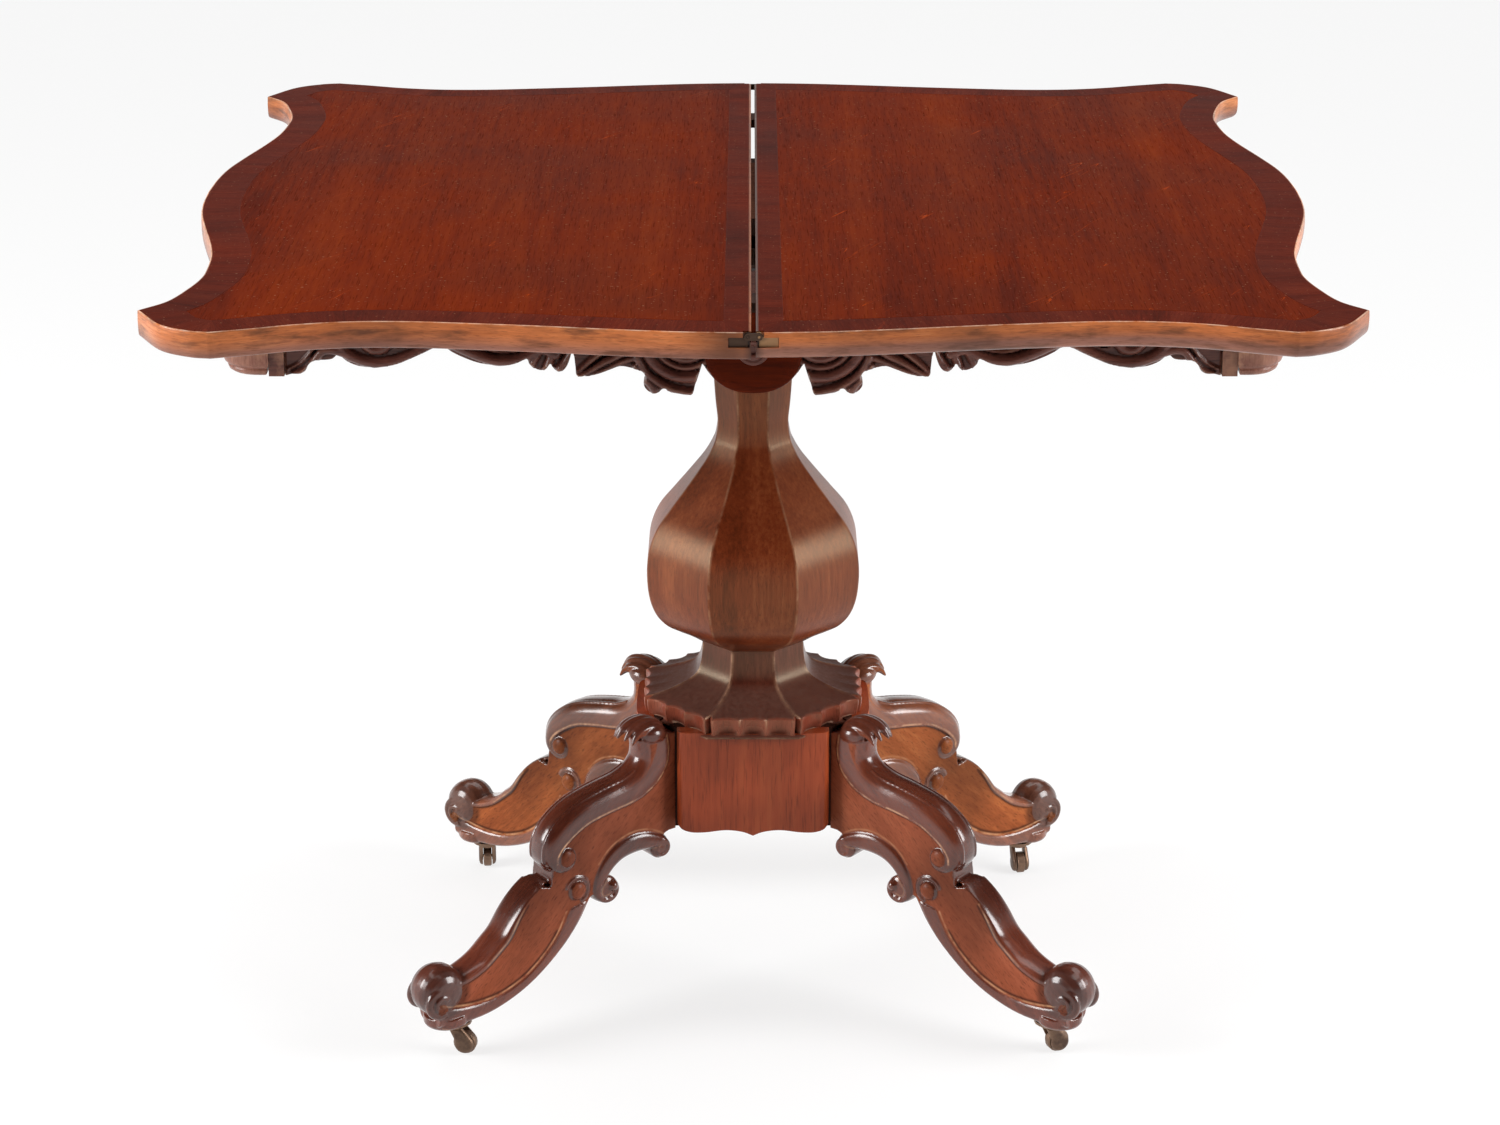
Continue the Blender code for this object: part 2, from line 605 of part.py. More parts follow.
def hinge_link(name, end):
    """The loose link between the two pins of a hinge."""
    near = hinge_floor(end) + end * (HINGE_PLATE_THICKNESS + 2 * SEAT_GAP)
    y_low, y_high = span(near, near + end * HINGE_LINK_THICKNESS)
    half = ROUND_SIDES // 2
    outline = []
    for side in (1, -1):
        start = -math.pi / 2 if side > 0 else math.pi / 2
        centre = hinge_pin_place(side)
        for count in range(half + 1):
            angle = start + math.pi * count / half
            outline.append((centre[0] + HINGE_LINK_RADIUS * math.cos(angle),
                            centre[1] + HINGE_LINK_RADIUS * math.sin(angle)))
    link = prism(name, outline, "Y", y_low, y_high)
    bore = HINGE_PIN_RADIUS + HINGE_PIN_CLEARANCE
    holes = [bar("hole", bore, "Y", hinge_pin_place(side), y_low - CUT_OVERRUN, y_high + CUT_OVERRUN)
             for side in (-1, 1)]
    return finish(cut(link, holes), name, BRASS_FINISH)


# Tenons on the flap's joint edge
def tenon_box(name, end, x_low, x_high, grow, low_extra=0.0, high_extra=0.0):
    """A box round one tenon's place, grown by a clearance on its sides, top and bottom."""
    y_low, y_high = span(end * (TENON_OFFSET - TENON_WIDTH / 2), end * (TENON_OFFSET + TENON_WIDTH / 2))
    return box(name, (x_low, y_low - grow, TENON_BOTTOM - grow - low_extra),
               (x_high, y_high + grow, TENON_TOP + grow + high_extra))


def leaf_tenon(name, end):
    """A tenon glued into the flap, reaching across the joint into the lower leaf's notch."""
    tenon = tenon_box(name, end, JOINT_EDGE - TENON_LENGTH, JOINT_EDGE + TENON_ROOT - SEAT_GAP, 0)
    return finish(tenon, name, EDGE_FINISH)


def tenon_notch(end):
    """The lower leaf's notch, open below and roomy above so that the tenon can swing out of it."""
    reach = JOINT_EDGE - TENON_LENGTH - 2 * SEAT_GAP
    return tenon_box("notch", end, reach, 0, 2 * SEAT_GAP, LEAF_THICKNESS, TENON_SWING)


def tenon_mortise(end):
    """The flap's mortise, which holds the tenon's root."""
    return tenon_box("mortise", end, 0, JOINT_EDGE + TENON_ROOT, SEAT_GAP)


# Lower leaf, flap and swivel
def lower_leaf():
    """The leaf that swivels on the frame, with the beds of its hinges, tenons and pivot plate."""
    leaf = leaf_board("lower_leaf", -1, LOWER_EDGE_ROUND, 2)
    half = PIVOT_PLATE_SIDE / 2 + SEAT_GAP
    plate_bed = box("plate bed", (-PIVOT_PLACE - half, PIVOT_PLACE - half, LEAF_UNDERSIDE - CUT_OVERRUN),
                    (-PIVOT_PLACE + half, PIVOT_PLACE + half, pivot_plate_top() + SEAT_GAP))
    head_bed = bar("head bed", PIVOT_HEAD_RADIUS + 2 * SEAT_GAP, "Z", (-PIVOT_PLACE, PIVOT_PLACE),
                   LEAF_UNDERSIDE, pivot_plate_top() + PIVOT_HEAD_HEIGHT + 3 * SEAT_GAP, ROUND_SIDES)
    cuts = [plate_bed, head_bed]
    for end in (-1, 1):
        cuts += [hinge_well(-1, end), hinge_tail_bed(-1, end), tenon_notch(end)]
    return finish(cut(leaf, cuts), "lower_leaf", EDGE_FINISH)


def flap_leaf():
    """The leaf that folds over, with the beds of its hinges and tenons."""
    leaf = leaf_board("flap_leaf", 1, FLAP_EDGE_ROUND, 3)
    cuts = []
    for end in (-1, 1):
        cuts += [hinge_well(1, end), hinge_tail_bed(1, end), tenon_mortise(end)]
    return finish(cut(leaf, cuts), "flap_leaf", EDGE_FINISH)


def pivot_plate_top():
    """The upper face of the iron plate let into the lower leaf's underside."""
    return LEAF_UNDERSIDE + PIVOT_PLATE_THICKNESS


def pivot_plate():
    """The iron plate that the pivot bolt hangs in."""
    half = PIVOT_PLATE_SIDE / 2
    plate = box("plate", (-PIVOT_PLACE - half, PIVOT_PLACE - half, LEAF_UNDERSIDE),
                (-PIVOT_PLACE + half, PIVOT_PLACE + half, pivot_plate_top()))
    hole = bar("hole", PIVOT_BOLT_RADIUS + 2 * SEAT_GAP, "Z", (-PIVOT_PLACE, PIVOT_PLACE),
               LEAF_UNDERSIDE - CUT_OVERRUN, pivot_plate_top() + CUT_OVERRUN, ROUND_SIDES)
    return finish(cut(plate, [hole]), "pivot_plate", STEEL_FINISH)


def washer_top():
    """The upper face of the washer, just under the pivot rail."""
    return RAIL_BOTTOM - SEAT_GAP


def nut_top():
    """The upper face of the nut."""
    return washer_top() - WASHER_THICKNESS - SEAT_GAP


def pivot_bolt():
    """The bolt, with its round head on the plate and its shank through the pivot rail."""
    head = pivot_plate_top() + SEAT_GAP
    tail = nut_top() - NUT_HEIGHT - PIVOT_BOLT_TAIL
    profile = ((PIVOT_BOLT_RADIUS, tail), (PIVOT_BOLT_RADIUS, head), (PIVOT_HEAD_RADIUS, head),
               (PIVOT_HEAD_RADIUS, head + PIVOT_HEAD_HEIGHT))
    return finish(turned("bolt", profile, "Z", (-PIVOT_PLACE, PIVOT_PLACE)), "pivot_bolt", STEEL_FINISH)


def ring_plate(name, outer, inner, low, high, sides, look, centre):
    """A flat ring or nut round a vertical bolt."""
    ring = bar(name, outer, "Z", centre, low, high, sides)
    hole = bar("hole", inner, "Z", centre, low - CUT_OVERRUN, high + CUT_OVERRUN, ROUND_SIDES)
    return finish(cut(ring, [hole]), name, look)


def pivot_washer():
    """The washer between the pivot rail and the nut."""
    return ring_plate("pivot_washer", WASHER_RADIUS, PIVOT_BOLT_RADIUS + 2 * SEAT_GAP,
                      washer_top() - WASHER_THICKNESS, washer_top(), ROUND_SIDES, STEEL_FINISH,
                      (-PIVOT_PLACE, PIVOT_PLACE))


def pivot_nut():
    """The six-sided nut that keeps the top on the frame."""
    return ring_plate("pivot_nut", NUT_RADIUS, PIVOT_BOLT_RADIUS + 2 * SEAT_GAP,
                      nut_top() - NUT_HEIGHT, nut_top(), 6, STEEL_FINISH, (-PIVOT_PLACE, PIVOT_PLACE))


# Frame
def corner_block(name, side, end):
    """A quarter-round corner of the frame, with a stepped foot."""
    front = FRAME_FRONT if end < 0 else FRAME_BACK
    inner_x, outer_x = FRAME_HALF_LENGTH - BLOCK_LENGTH, FRAME_HALF_LENGTH
    inner_y, outer_y = front - BLOCK_DEPTH, front
    arc = [math.radians(angle) for angle in (0, 22.5, 45, 67.5, 90)]
    centre = (outer_x - BLOCK_ROUND, outer_y - BLOCK_ROUND)
    plan = [(inner_x, inner_y), (outer_x, inner_y)]
    plan += [(centre[0] + BLOCK_ROUND * math.cos(angle), centre[1] + BLOCK_ROUND * math.sin(angle))
             for angle in arc]
    plan.append((inner_x, outer_y))
    bottom = FRAME_TOP - BLOCK_DROP
    levels = ((BLOCK_FOOT, bottom), (BLOCK_FOOT / 3, bottom + BLOCK_FOOT / 3),
              (BLOCK_FOOT / 3, bottom + BLOCK_FOOT * 2 / 3), (0, bottom + BLOCK_FOOT), (0, FRAME_TOP))
    rings = []
    for inset, height in levels:
        insets = [0] + [inset] * (len(plan) - 2) + [0]
        rings.append([Vector((side * x, end * y, height)) for x, y in offset_outline(plan, insets)])
    return finish(loft(name, rings), name, FRAME_FINISH)


def apron_outline(shares, half_length, drop):
    """An apron's outline, seen square on: a straight top and a shaped lower edge."""
    lower = [(share[0] * half_length, FRAME_TOP - share[1] * drop) for share in shares]
    left = [(-along, height) for along, height in reversed(lower[1:])]
    return left + lower + [(half_length, FRAME_TOP), (-half_length, FRAME_TOP)]


def front_apron():
    """The carved front board: a middle tablet, sunk rings, leaves and two pairs of sunk C-scrolls."""
    half_length = FRAME_HALF_LENGTH - BLOCK_LENGTH - SEAT_GAP
    front = -(FRAME_FRONT - APRON_SETBACK)
    back = front + APRON_THICKNESS
    ground = back - APRON_GROUND
    board = prism("board", apron_outline(FRONT_APRON_SHARES, half_length, APRON_DROP), "Y", front, back)
    recesses, beads = [], []
    for side in (-1, 1):
        centre = (side * RING_PLACE_SHARE[0] * half_length, FRAME_TOP - RING_PLACE_SHARE[1] * APRON_DROP)
        recesses.append(bar("ring recess", RING_RECESS_RADIUS, "Y", centre, front - CUT_OVERRUN, ground,
                            ROUND_SIDES))
        beads.append(ring_bead(centre, front))
        for shares in (LARGE_SCROLL_RECESS_SHARES, SMALL_SCROLL_RECESS_SHARES):
            outline = [(side * x * half_length, FRAME_TOP - z * APRON_DROP) for x, z in shares]
            recesses.append(prism("scroll recess", outline, "Y", front - CUT_OVERRUN, ground))
    return finish(cut(combine(board, beads), recesses), "front_apron", FRAME_FINISH)


def ring_bead(centre, front):
    """The raised roll round a sunk ring."""
    rise = RING_BEAD_RADIUS / 2
    profile = [(RING_ROLL_RADIUS + RING_BEAD_RADIUS, front + rise),
               (RING_ROLL_RADIUS + RING_BEAD_RADIUS, front - rise / 2),
               (RING_ROLL_RADIUS + RING_BEAD_RADIUS / 2, front - rise),
               (RING_ROLL_RADIUS - RING_BEAD_RADIUS / 2, front - rise)]
    return turned("ring bead", profile, "Y", centre)


def end_apron(name, side):
    """A carved end board between two corner blocks."""
    low = -(FRAME_FRONT - BLOCK_DEPTH) + SEAT_GAP
    high = FRAME_BACK - BLOCK_DEPTH - SEAT_GAP
    middle, half_length = (low + high) / 2, (high - low) / 2
    outline = [(middle + along, height)
               for along, height in apron_outline(END_APRON_SHARES, half_length, APRON_DROP)]
    outer = side * (FRAME_HALF_LENGTH - END_APRON_SETBACK)
    x_low, x_high = span(outer, outer - side * APRON_THICKNESS)
    return finish(prism(name, outline, "X", x_low, x_high), name, FRAME_FINISH)


def back_apron():
    """The plain back board."""
    half_length = FRAME_HALF_LENGTH - BLOCK_LENGTH - SEAT_GAP
    back = FRAME_BACK - APRON_SETBACK
    board = box("board", (-half_length, back - APRON_THICKNESS, FRAME_TOP - BACK_APRON_DROP),
                (half_length, back, FRAME_TOP))
    return finish(board, "back_apron", FRAME_FINISH)


def frame_rail(name, place):
    """A flat rail from the front board to the back board."""
    front = -(FRAME_FRONT - APRON_SETBACK) + APRON_THICKNESS + SEAT_GAP
    back = FRAME_BACK - APRON_SETBACK - APRON_THICKNESS - SEAT_GAP
    rail = box(name, (place - RAIL_WIDTH / 2, front, RAIL_BOTTOM), (place + RAIL_WIDTH / 2, back, RAIL_TOP))
    return rail


def pivot_rail():
    """The rail that carries the pivot bolt."""
    rail = frame_rail("pivot_rail", -PIVOT_PLACE)
    hole = bar("hole", PIVOT_BOLT_RADIUS + PIVOT_BOLT_CLEARANCE, "Z", (-PIVOT_PLACE, PIVOT_PLACE),
               RAIL_BOTTOM - CUT_OVERRUN, RAIL_TOP + CUT_OVERRUN, ROUND_SIDES)
    return finish(cut(rail, [hole]), "pivot_rail", INNER_WOOD_FINISH)


def plain_rail():
    """The rail on the other side of the pillar."""
    return finish(frame_rail("plain_rail", PIVOT_PLACE), "plain_rail", INNER_WOOD_FINISH)


def pillar_block():
    """The block under the two rails that the pillar's spigot is glued into."""
    half_x, half_y = PILLAR_BLOCK_LENGTH / 2, PILLAR_BLOCK_DEPTH / 2
    block = box("block", (-half_x, -half_y, PILLAR_BLOCK_BOTTOM), (half_x, half_y, PILLAR_BLOCK_TOP))
    hole = bar("hole", SPIGOT_RADIUS + SPIGOT_CLEARANCE, "Z", (0, 0), PILLAR_BLOCK_BOTTOM - CUT_OVERRUN,
               PILLAR_BLOCK_TOP + CUT_OVERRUN, ROUND_SIDES)
    return finish(cut(block, [hole]), "pillar_block", INNER_WOOD_FINISH)


# Pillar and hub
def octagon_ring(apothem, height):
    """An eight-sided ring with a flat side in front."""
    radius = apothem / math.cos(math.pi / PILLAR_SIDES)
    turn = math.pi / PILLAR_SIDES
    return [lift(point, "Z", height) for point in circle(radius, PILLAR_SIDES, (0, 0), turn)]


def pillar():
    """The baluster, with a round spigot at each end."""
    height = PILLAR_TOP - PILLAR_BOTTOM
    rings = [octagon_ring(share * PILLAR_BELLY_APOTHEM, PILLAR_BOTTOM + level * height)
             for level, share in PILLAR_PROFILE_SHARES]
    body = loft("pillar", rings)
    spigot = bar("spigot", SPIGOT_RADIUS, "Z", (0, 0), PILLAR_BOTTOM - LOWER_SPIGOT_LENGTH,
                 PILLAR_TOP + TOP_SPIGOT_LENGTH, ROUND_SIDES)
    return finish(combine(body, [spigot]), "pillar", PILLAR_FINISH)


def scalloped_ring(apothem, depth, squash, height):
    """An eight-sided ring, a little shorter from front to back, notched at the corners and fluted."""
    corners = [Vector(point[:2]) for point in octagon_ring(apothem, height)]
    ring = []
    for index, corner in enumerate(corners):
        following = corners[(index + 1) % len(corners)]
        for place, notch, flute in RIM_SIDE_SHARES:
            point = corner.lerp(following, place)
            cut_in = depth * (notch * RIM_NOTCH_DEPTH + flute * RIM_FLUTE_DEPTH)
            point = point * (1 - cut_in / point.length)
            ring.append(Vector((point.x, point.y * (1 - squash), height)))
    return ring


def pillar_skirt():
    """The flared collar under the pillar, with its scalloped rim."""
    rim_top = SKIRT_BOTTOM + SKIRT_RIM_HEIGHT
    flare_height = SKIRT_HEIGHT - SKIRT_RIM_HEIGHT
    flare = SKIRT_RIM_APOTHEM - SKIRT_NECK_APOTHEM
    rings = [scalloped_ring(SKIRT_RIM_APOTHEM, 1, SKIRT_RIM_SQUASH, SKIRT_BOTTOM)]
    for (level, share), fade in zip(SKIRT_FLARE_SHARES, SCALLOP_FADE_SHARES):
        rings.append(scalloped_ring(SKIRT_NECK_APOTHEM + share * flare, fade, share * SKIRT_RIM_SQUASH,
                                    rim_top + level * flare_height))
    skirt = loft("pillar_skirt", rings)
    bore = bar("bore", SPIGOT_RADIUS + SPIGOT_CLEARANCE, "Z", (0, 0), SKIRT_BOTTOM - CUT_OVERRUN,
               SKIRT_TOP + CUT_OVERRUN, ROUND_SIDES)
    return finish(cut(skirt, [bore]), "pillar_skirt", PILLAR_FINISH)


def leg_place(side, end, out, across):
    """A point in plan beside a leg: so far out from the axis, and so far off the leg's middle."""
    along = Vector((side * math.cos(LEG_AZIMUTH), end * math.sin(LEG_AZIMUTH)))
    aside = Vector((-along.y, along.x))
    return along * out + aside * across


def dovetail_plan(side, end, grow):
    """The tongue's plan from its neck to its wide end, for the leg or, grown, for its slot."""
    half_neck, half_flare = DOVETAIL_NECK / 2 + grow, DOVETAIL_FLARE / 2 + grow
    tip = HUB_REACH - DOVETAIL_LENGTH - grow
    return [leg_place(side, end, HUB_REACH, half_neck), leg_place(side, end, tip, half_flare),
            leg_place(side, end, tip, -half_flare), leg_place(side, end, HUB_REACH, -half_neck)]


def hub_corners():
    """The plan corners of the hub's core, two at each leg's seat, anticlockwise."""
    half = LEG_THICKNESS / 2
    corners = []
    for side, end in ((1, -1), (1, 1), (-1, 1), (-1, -1)):
        corners += [leg_place(side, end, HUB_REACH, -half), leg_place(side, end, HUB_REACH, half)]
    return corners


def hub_core():
    """The block inside the hub, with a dovetail slot for each leg and the pillar spigot's bore."""
    plan = []
    corners = hub_corners()
    for index, (side, end) in enumerate(((1, -1), (1, 1), (-1, 1), (-1, -1))):
        slot = dovetail_plan(side, end, SEAT_GAP)
        plan += [corners[2 * index]] + list(reversed(slot)) + [corners[2 * index + 1]]
    core = prism("hub_core", plan, "Z", HUB_BOTTOM, HUB_TOP)
    bore = bar("bore", SPIGOT_RADIUS + SPIGOT_CLEARANCE, "Z", (0, 0), HUB_BOTTOM - CUT_OVERRUN,
               HUB_TOP + CUT_OVERRUN, ROUND_SIDES)
    return finish(cut(core, [bore]), "hub_core", INNER_WOOD_FINISH)


def hub_board(name, axis, sign):
    """A bowed board between two legs, with a shaped lower edge that drops to a point."""
    corner = hub_corners()[1]
    if axis == "Y":
        corner = hub_corners()[0]
    inner, half = (abs(corner.y), abs(corner.x)) if axis == "Y" else (abs(corner.x), abs(corner.y))
    inner, half = inner + SEAT_GAP, half - BOARD_END_GAP
    ends = smooth_curve([(half * share, inner + BOARD_THICKNESS + BOARD_BOW * bow)
                         for share, bow in BOARD_BOW_SHARES])
    right = [(half, inner)] + [tuple(point) for point in ends]
    plan = right + [(-x, y) for x, y in reversed(right[:-1])]
    top = HUB_TOP
    lower = smooth_curve([(half * share, HUB_BOTTOM + BOARD_POINT_DROP * rise)
                          for share, rise in BOARD_EDGE_SHARES])
    edge = [tuple(point) for point in lower]
    face = edge + [(-x, z) for x, z in reversed(edge[:-1])]
    face += [(-half - CUT_OVERRUN, top + CUT_OVERRUN), (half + CUT_OVERRUN, top + CUT_OVERRUN)]
    outer = inner + BOARD_THICKNESS + BOARD_BOW + CUT_OVERRUN
    board_low = HUB_BOTTOM - BOARD_POINT_DROP - CUT_OVERRUN
    if axis == "Y":
        board = prism(name, [(x, sign * y) for x, y in plan], "Z", board_low, top)
        shape = prism("shape", face, "Y", *span(sign * (inner - CUT_OVERRUN), sign * outer))
    else:
        board = prism(name, [(sign * y, x) for x, y in plan], "Z", board_low, top)
        shape = prism("shape", face, "X", *span(sign * (inner - CUT_OVERRUN), sign * outer))
    return finish(combine(board, [shape], "INTERSECT"), name, PILLAR_FINISH)


# Legs, drawn in their own plane: X outwards from the table's axis, Y across, Z up
def leg_point(share):
    """A point of the leg's plane from its shares of the reach and the rise."""
    return (HUB_REACH + share[0] * LEG_REACH, CASTER_HEIGHT + share[1] * LEG_RISE)


def leg_curve(shares, steps=LEG_CURVE_STEPS):
    """A smooth curve in the leg's plane."""
    return smooth_curve([leg_point(share) for share in shares], steps)


def swept(name, path, widths, section, lean=0.0):
    """Sweeps a section, given as pairs across and above the path, along a curve in the leg's plane."""
    rings = []
    for index, point in enumerate(path):
        ahead = path[min(index + 1, len(path) - 1)] - path[max(index - 1, 0)]
        along = ahead.normalized()
        above = Vector((-along.y, along.x))
        ring = []
        for across, up in section:
            place = point + above * (up * widths[index])
            ring.append(Vector((place.x, across * widths[index] + lean, place.y)))
        rings.append(ring)
    return loft(name, rings)


def arch_section(half_width, height, lip, sides):
    """A rounded top over a short straight lip, as pairs across and above the path."""
    arch = [(half_width * math.cos(math.pi * count / sides), height * math.sin(math.pi * count / sides))
            for count in range(sides + 1)]
    return arch + [(-half_width, -lip), (half_width, -lip)]


def leg_web():
    """The flat board that the leg's carving stands on."""
    upper = leg_curve(LEG_WEB_UPPER_SHARES)
    lower = [leg_point(share) for share in reversed(LEG_LOWER_EDGE_SHARES[1:-1])]
    under = [leg_point(share) for share in LEG_WEB_UNDER_SHARES]
    top_left = (HUB_REACH - CUT_OVERRUN, leg_point(LEG_WEB_UPPER_SHARES[0])[1])
    seat = [(HUB_REACH - CUT_OVERRUN, leg_point(LEG_WEB_UNDER_SHARES[-1])[1])]
    outline = [top_left] + [tuple(point) for point in upper] + lower + under + seat
    return prism("web", outline, "Y", -LEG_THICKNESS / 2, LEG_THICKNESS / 2)


def relief_band(name, upper_shares, lower_shares, relief):
    """A raised band between two curves, through the leg's whole thickness."""
    outline = [tuple(point) for point in leg_curve(upper_shares)]
    outline += [tuple(point) for point in leg_curve(list(reversed(lower_shares)))]
    half = LEG_THICKNESS / 2 + relief
    return prism(name, outline, "Y", -half, half)


def leg_button(name, share, radius, relief):
    """A round eye or button that stands out on both faces of the leg."""
    half = LEG_THICKNESS / 2 + relief
    rim = radius * 0.8
    profile = ((rim, -half), (radius, -half + relief / 2), (radius, half - relief / 2), (rim, half))
    return turned(name, profile, "Y", leg_point(share), SMALL_SIDES)


def foot_scroll():
    """The turned scroll at the toe, with its smaller side volutes."""
    profile = [(radius * FOOT_RADIUS, -half * FOOT_HALF_WIDTH) for radius, half in FOOT_PROFILE_SHARES]
    profile += [(radius, -height) for radius, height in reversed(profile[:-1])]
    return turned("foot", profile, "Y", leg_point(FOOT_SHARE))


def crest_fingers():
    """Three leaf fingers that curl outwards above the leg's roll."""
    fingers = []
    for lean, shrink in ((-CREST_SPREAD, 0.86), (0.0, 1.0), (CREST_SPREAD, 0.86)):
        first = Vector(leg_point(CREST_PATH_SHARES[0]))
        path = [first + (point - first) * shrink for point in leg_curve(CREST_PATH_SHARES)]
        widths = [CREST_RADIUS * share for share in smooth_values(CREST_WIDTH_SHARES, LEG_CURVE_STEPS)]
        section = circle(1, FINGER_SIDES)
        fingers.append(swept("finger", path, widths, section, lean))
    return fingers


def leg_trims():
    """What the leg must keep clear of: the hub's seat, the skirt above it, and its own underside."""
    reach = HUB_REACH + LEG_REACH
    half = LEG_THICKNESS + FOOT_HALF_WIDTH
    seat = box("seat", (0, -half, 0), (HUB_REACH + SEAT_GAP, half, TABLE_HEIGHT))
    rim = SKIRT_RIM_APOTHEM / math.cos(math.pi / PILLAR_SIDES) + SEAT_GAP
    over = box("over", (0, -half, HUB_TOP), (rim, half, TABLE_HEIGHT))
    under = box("under", (0, -half, 0), (2 * reach, half, CASTER_HEIGHT))
    return [seat, over, under]


def caster_reach():
    """How far the castors' upright axes are from the table's axis."""
    return HUB_REACH + CASTER_PLACE_SHARE * LEG_REACH


def leg_mesh():
    """The whole leg in its own plane: web, rolls, scrolls, crest, foot and dovetail tongue."""
    roll_widths = [LEG_ROLL_RADIUS * share
                   for share in smooth_values(LEG_ROLL_WIDTH_SHARES, LEG_CURVE_STEPS)]
    roll_section = arch_section(1, 1, LEG_ROLL_LIP / LEG_ROLL_RADIUS, ROLL_ARCH_SIDES)
    crown_half = LEG_CROWN_WIDTH / 2
    crown_path = leg_curve(LEG_CROWN_SHARES)
    crown_section = arch_section(crown_half, LEG_CROWN_HEIGHT, LEG_CROWN_HEIGHT / 2, CROWN_ARCH_SIDES)
    parts = [
        swept("roll", leg_curve(LEG_ROLL_SHARES), roll_widths, roll_section),
        swept("crown", crown_path, [1] * len(crown_path), crown_section),
        relief_band("bead", LEG_BEAD_SHARES, LEG_LOWER_EDGE_SHARES, LEG_RELIEF),
        relief_band("bracket", LEG_BRACKET_OUTER_SHARES,
                    tuple(reversed(LEG_BRACKET_INNER_SHARES)), 1.6 * LEG_RELIEF),
        leg_button("inner volute", INNER_VOLUTE_SHARE, INNER_VOLUTE_RADIUS, EYE_RELIEF),
        leg_button("outer volute", OUTER_VOLUTE_SHARE, OUTER_VOLUTE_RADIUS, EYE_RELIEF),
        leg_button("button", BUTTON_SHARE, BUTTON_RADIUS, EYE_RELIEF),
        leg_button("knuckle eye", KNUCKLE_EYE_SHARE, KNUCKLE_EYE_RADIUS, EYE_RELIEF),
        leg_button("foot eye", FOOT_EYE_SHARE, FOOT_EYE_RADIUS,
                   FOOT_HALF_WIDTH - LEG_THICKNESS / 2 + LEG_RELIEF),
        foot_scroll(),
        bar("toe pad", TOE_PAD_RADIUS, "Z", (leg_point(TOE_PAD_SHARE)[0], 0), CASTER_HEIGHT,
            CASTER_HEIGHT + TOE_PAD_HEIGHT, ROUND_SIDES),
    ] + crest_fingers()
    leg = combine(leg_web(), parts)
    cut(leg, leg_trims())
    half_neck, half_flare = DOVETAIL_NECK / 2, DOVETAIL_FLARE / 2
    tongue = [(HUB_REACH + DOVETAIL_LENGTH, -half_neck), (HUB_REACH + DOVETAIL_LENGTH, half_neck),
              (HUB_REACH, half_neck), (HUB_REACH - DOVETAIL_LENGTH, half_flare),
              (HUB_REACH - DOVETAIL_LENGTH, -half_flare), (HUB_REACH, -half_neck)]
    tongue_low = leg_point(LEG_WEB_UNDER_SHARES[-1])[1] + 2 * SEAT_GAP
    combine(leg, [prism("tongue", tongue, "Z", tongue_low, HUB_TOP - 2 * SEAT_GAP)])
    bore = bar("bore", PINTLE_RADIUS + PINTLE_CLEARANCE, "Z", (caster_reach(), 0),
               CASTER_HEIGHT - CUT_OVERRUN, CASTER_HEIGHT + PINTLE_LENGTH)
    return cut(leg, [bore])


def legs():
    """The four legs, which share one mesh and are turned to their places."""
    pattern = leg_mesh()
    finish(pattern, "leg_pattern", LEG_FINISH)
    made = []
    for name, (side, end) in LEGS.items():
        leg = bpy.data.objects.new("leg_" + name, pattern.data.copy())
        bpy.context.scene.collection.objects.link(leg)
        leg.rotation_euler.z = math.atan2(end * math.sin(LEG_AZIMUTH), side * math.cos(LEG_AZIMUTH))
        made.append(finish(leg, "leg_" + name, LEG_FINISH))
    bpy.data.objects.remove(pattern, do_unlink=True)
    return made


# Castors
def caster_place(name):
    """A castor's upright axis, in plan."""
    side, end = LEGS[name]
    return leg_place(side, end, caster_reach(), 0)


def caster_plate(name):
    """The round brass plate screwed under a leg's toe."""
    top = CASTER_HEIGHT - SEAT_GAP
    return ring_plate("caster_plate_" + name, CASTER_PLATE_RADIUS, PINTLE_RADIUS + PINTLE_CLEARANCE,
                      top - CASTER_PLATE_THICKNESS, top, ROUND_SIDES, BRASS_FINISH, caster_place(name))


def fork_top():
    """The upper face of a castor's fork crown."""
    return CASTER_HEIGHT - SEAT_GAP - CASTER_PLATE_THICKNESS - RUNNING_GAP


def turn_to_place(item, name):
    """Turns and moves a castor piece, made with its wheel trailing along +X, to its place."""
    angle = math.radians(CASTER_TRAIL_ANGLES[name])
    place = caster_place(name)
    for vertex in item.data.vertices:
        x, y, z = vertex.co
        vertex.co = (place.x + x * math.cos(angle) - y * math.sin(angle),
                     place.y + x * math.sin(angle) + y * math.cos(angle), z)
    return item


def cheek_outline():
    """One cheek of the fork, seen from the side: round at the axle and wide under the crown."""
    around = circle(CHEEK_ROUND, SMALL_SIDES, (CASTER_TRAIL, WHEEL_RADIUS), math.radians(-120))
    lower = [point for point in around[:SMALL_SIDES * 2 // 3]]
    top = fork_top() - FORK_CROWN_THICKNESS / 2
    return [(-CHEEK_ROUND, top)] + lower + [(CHEEK_ROUND, top)]


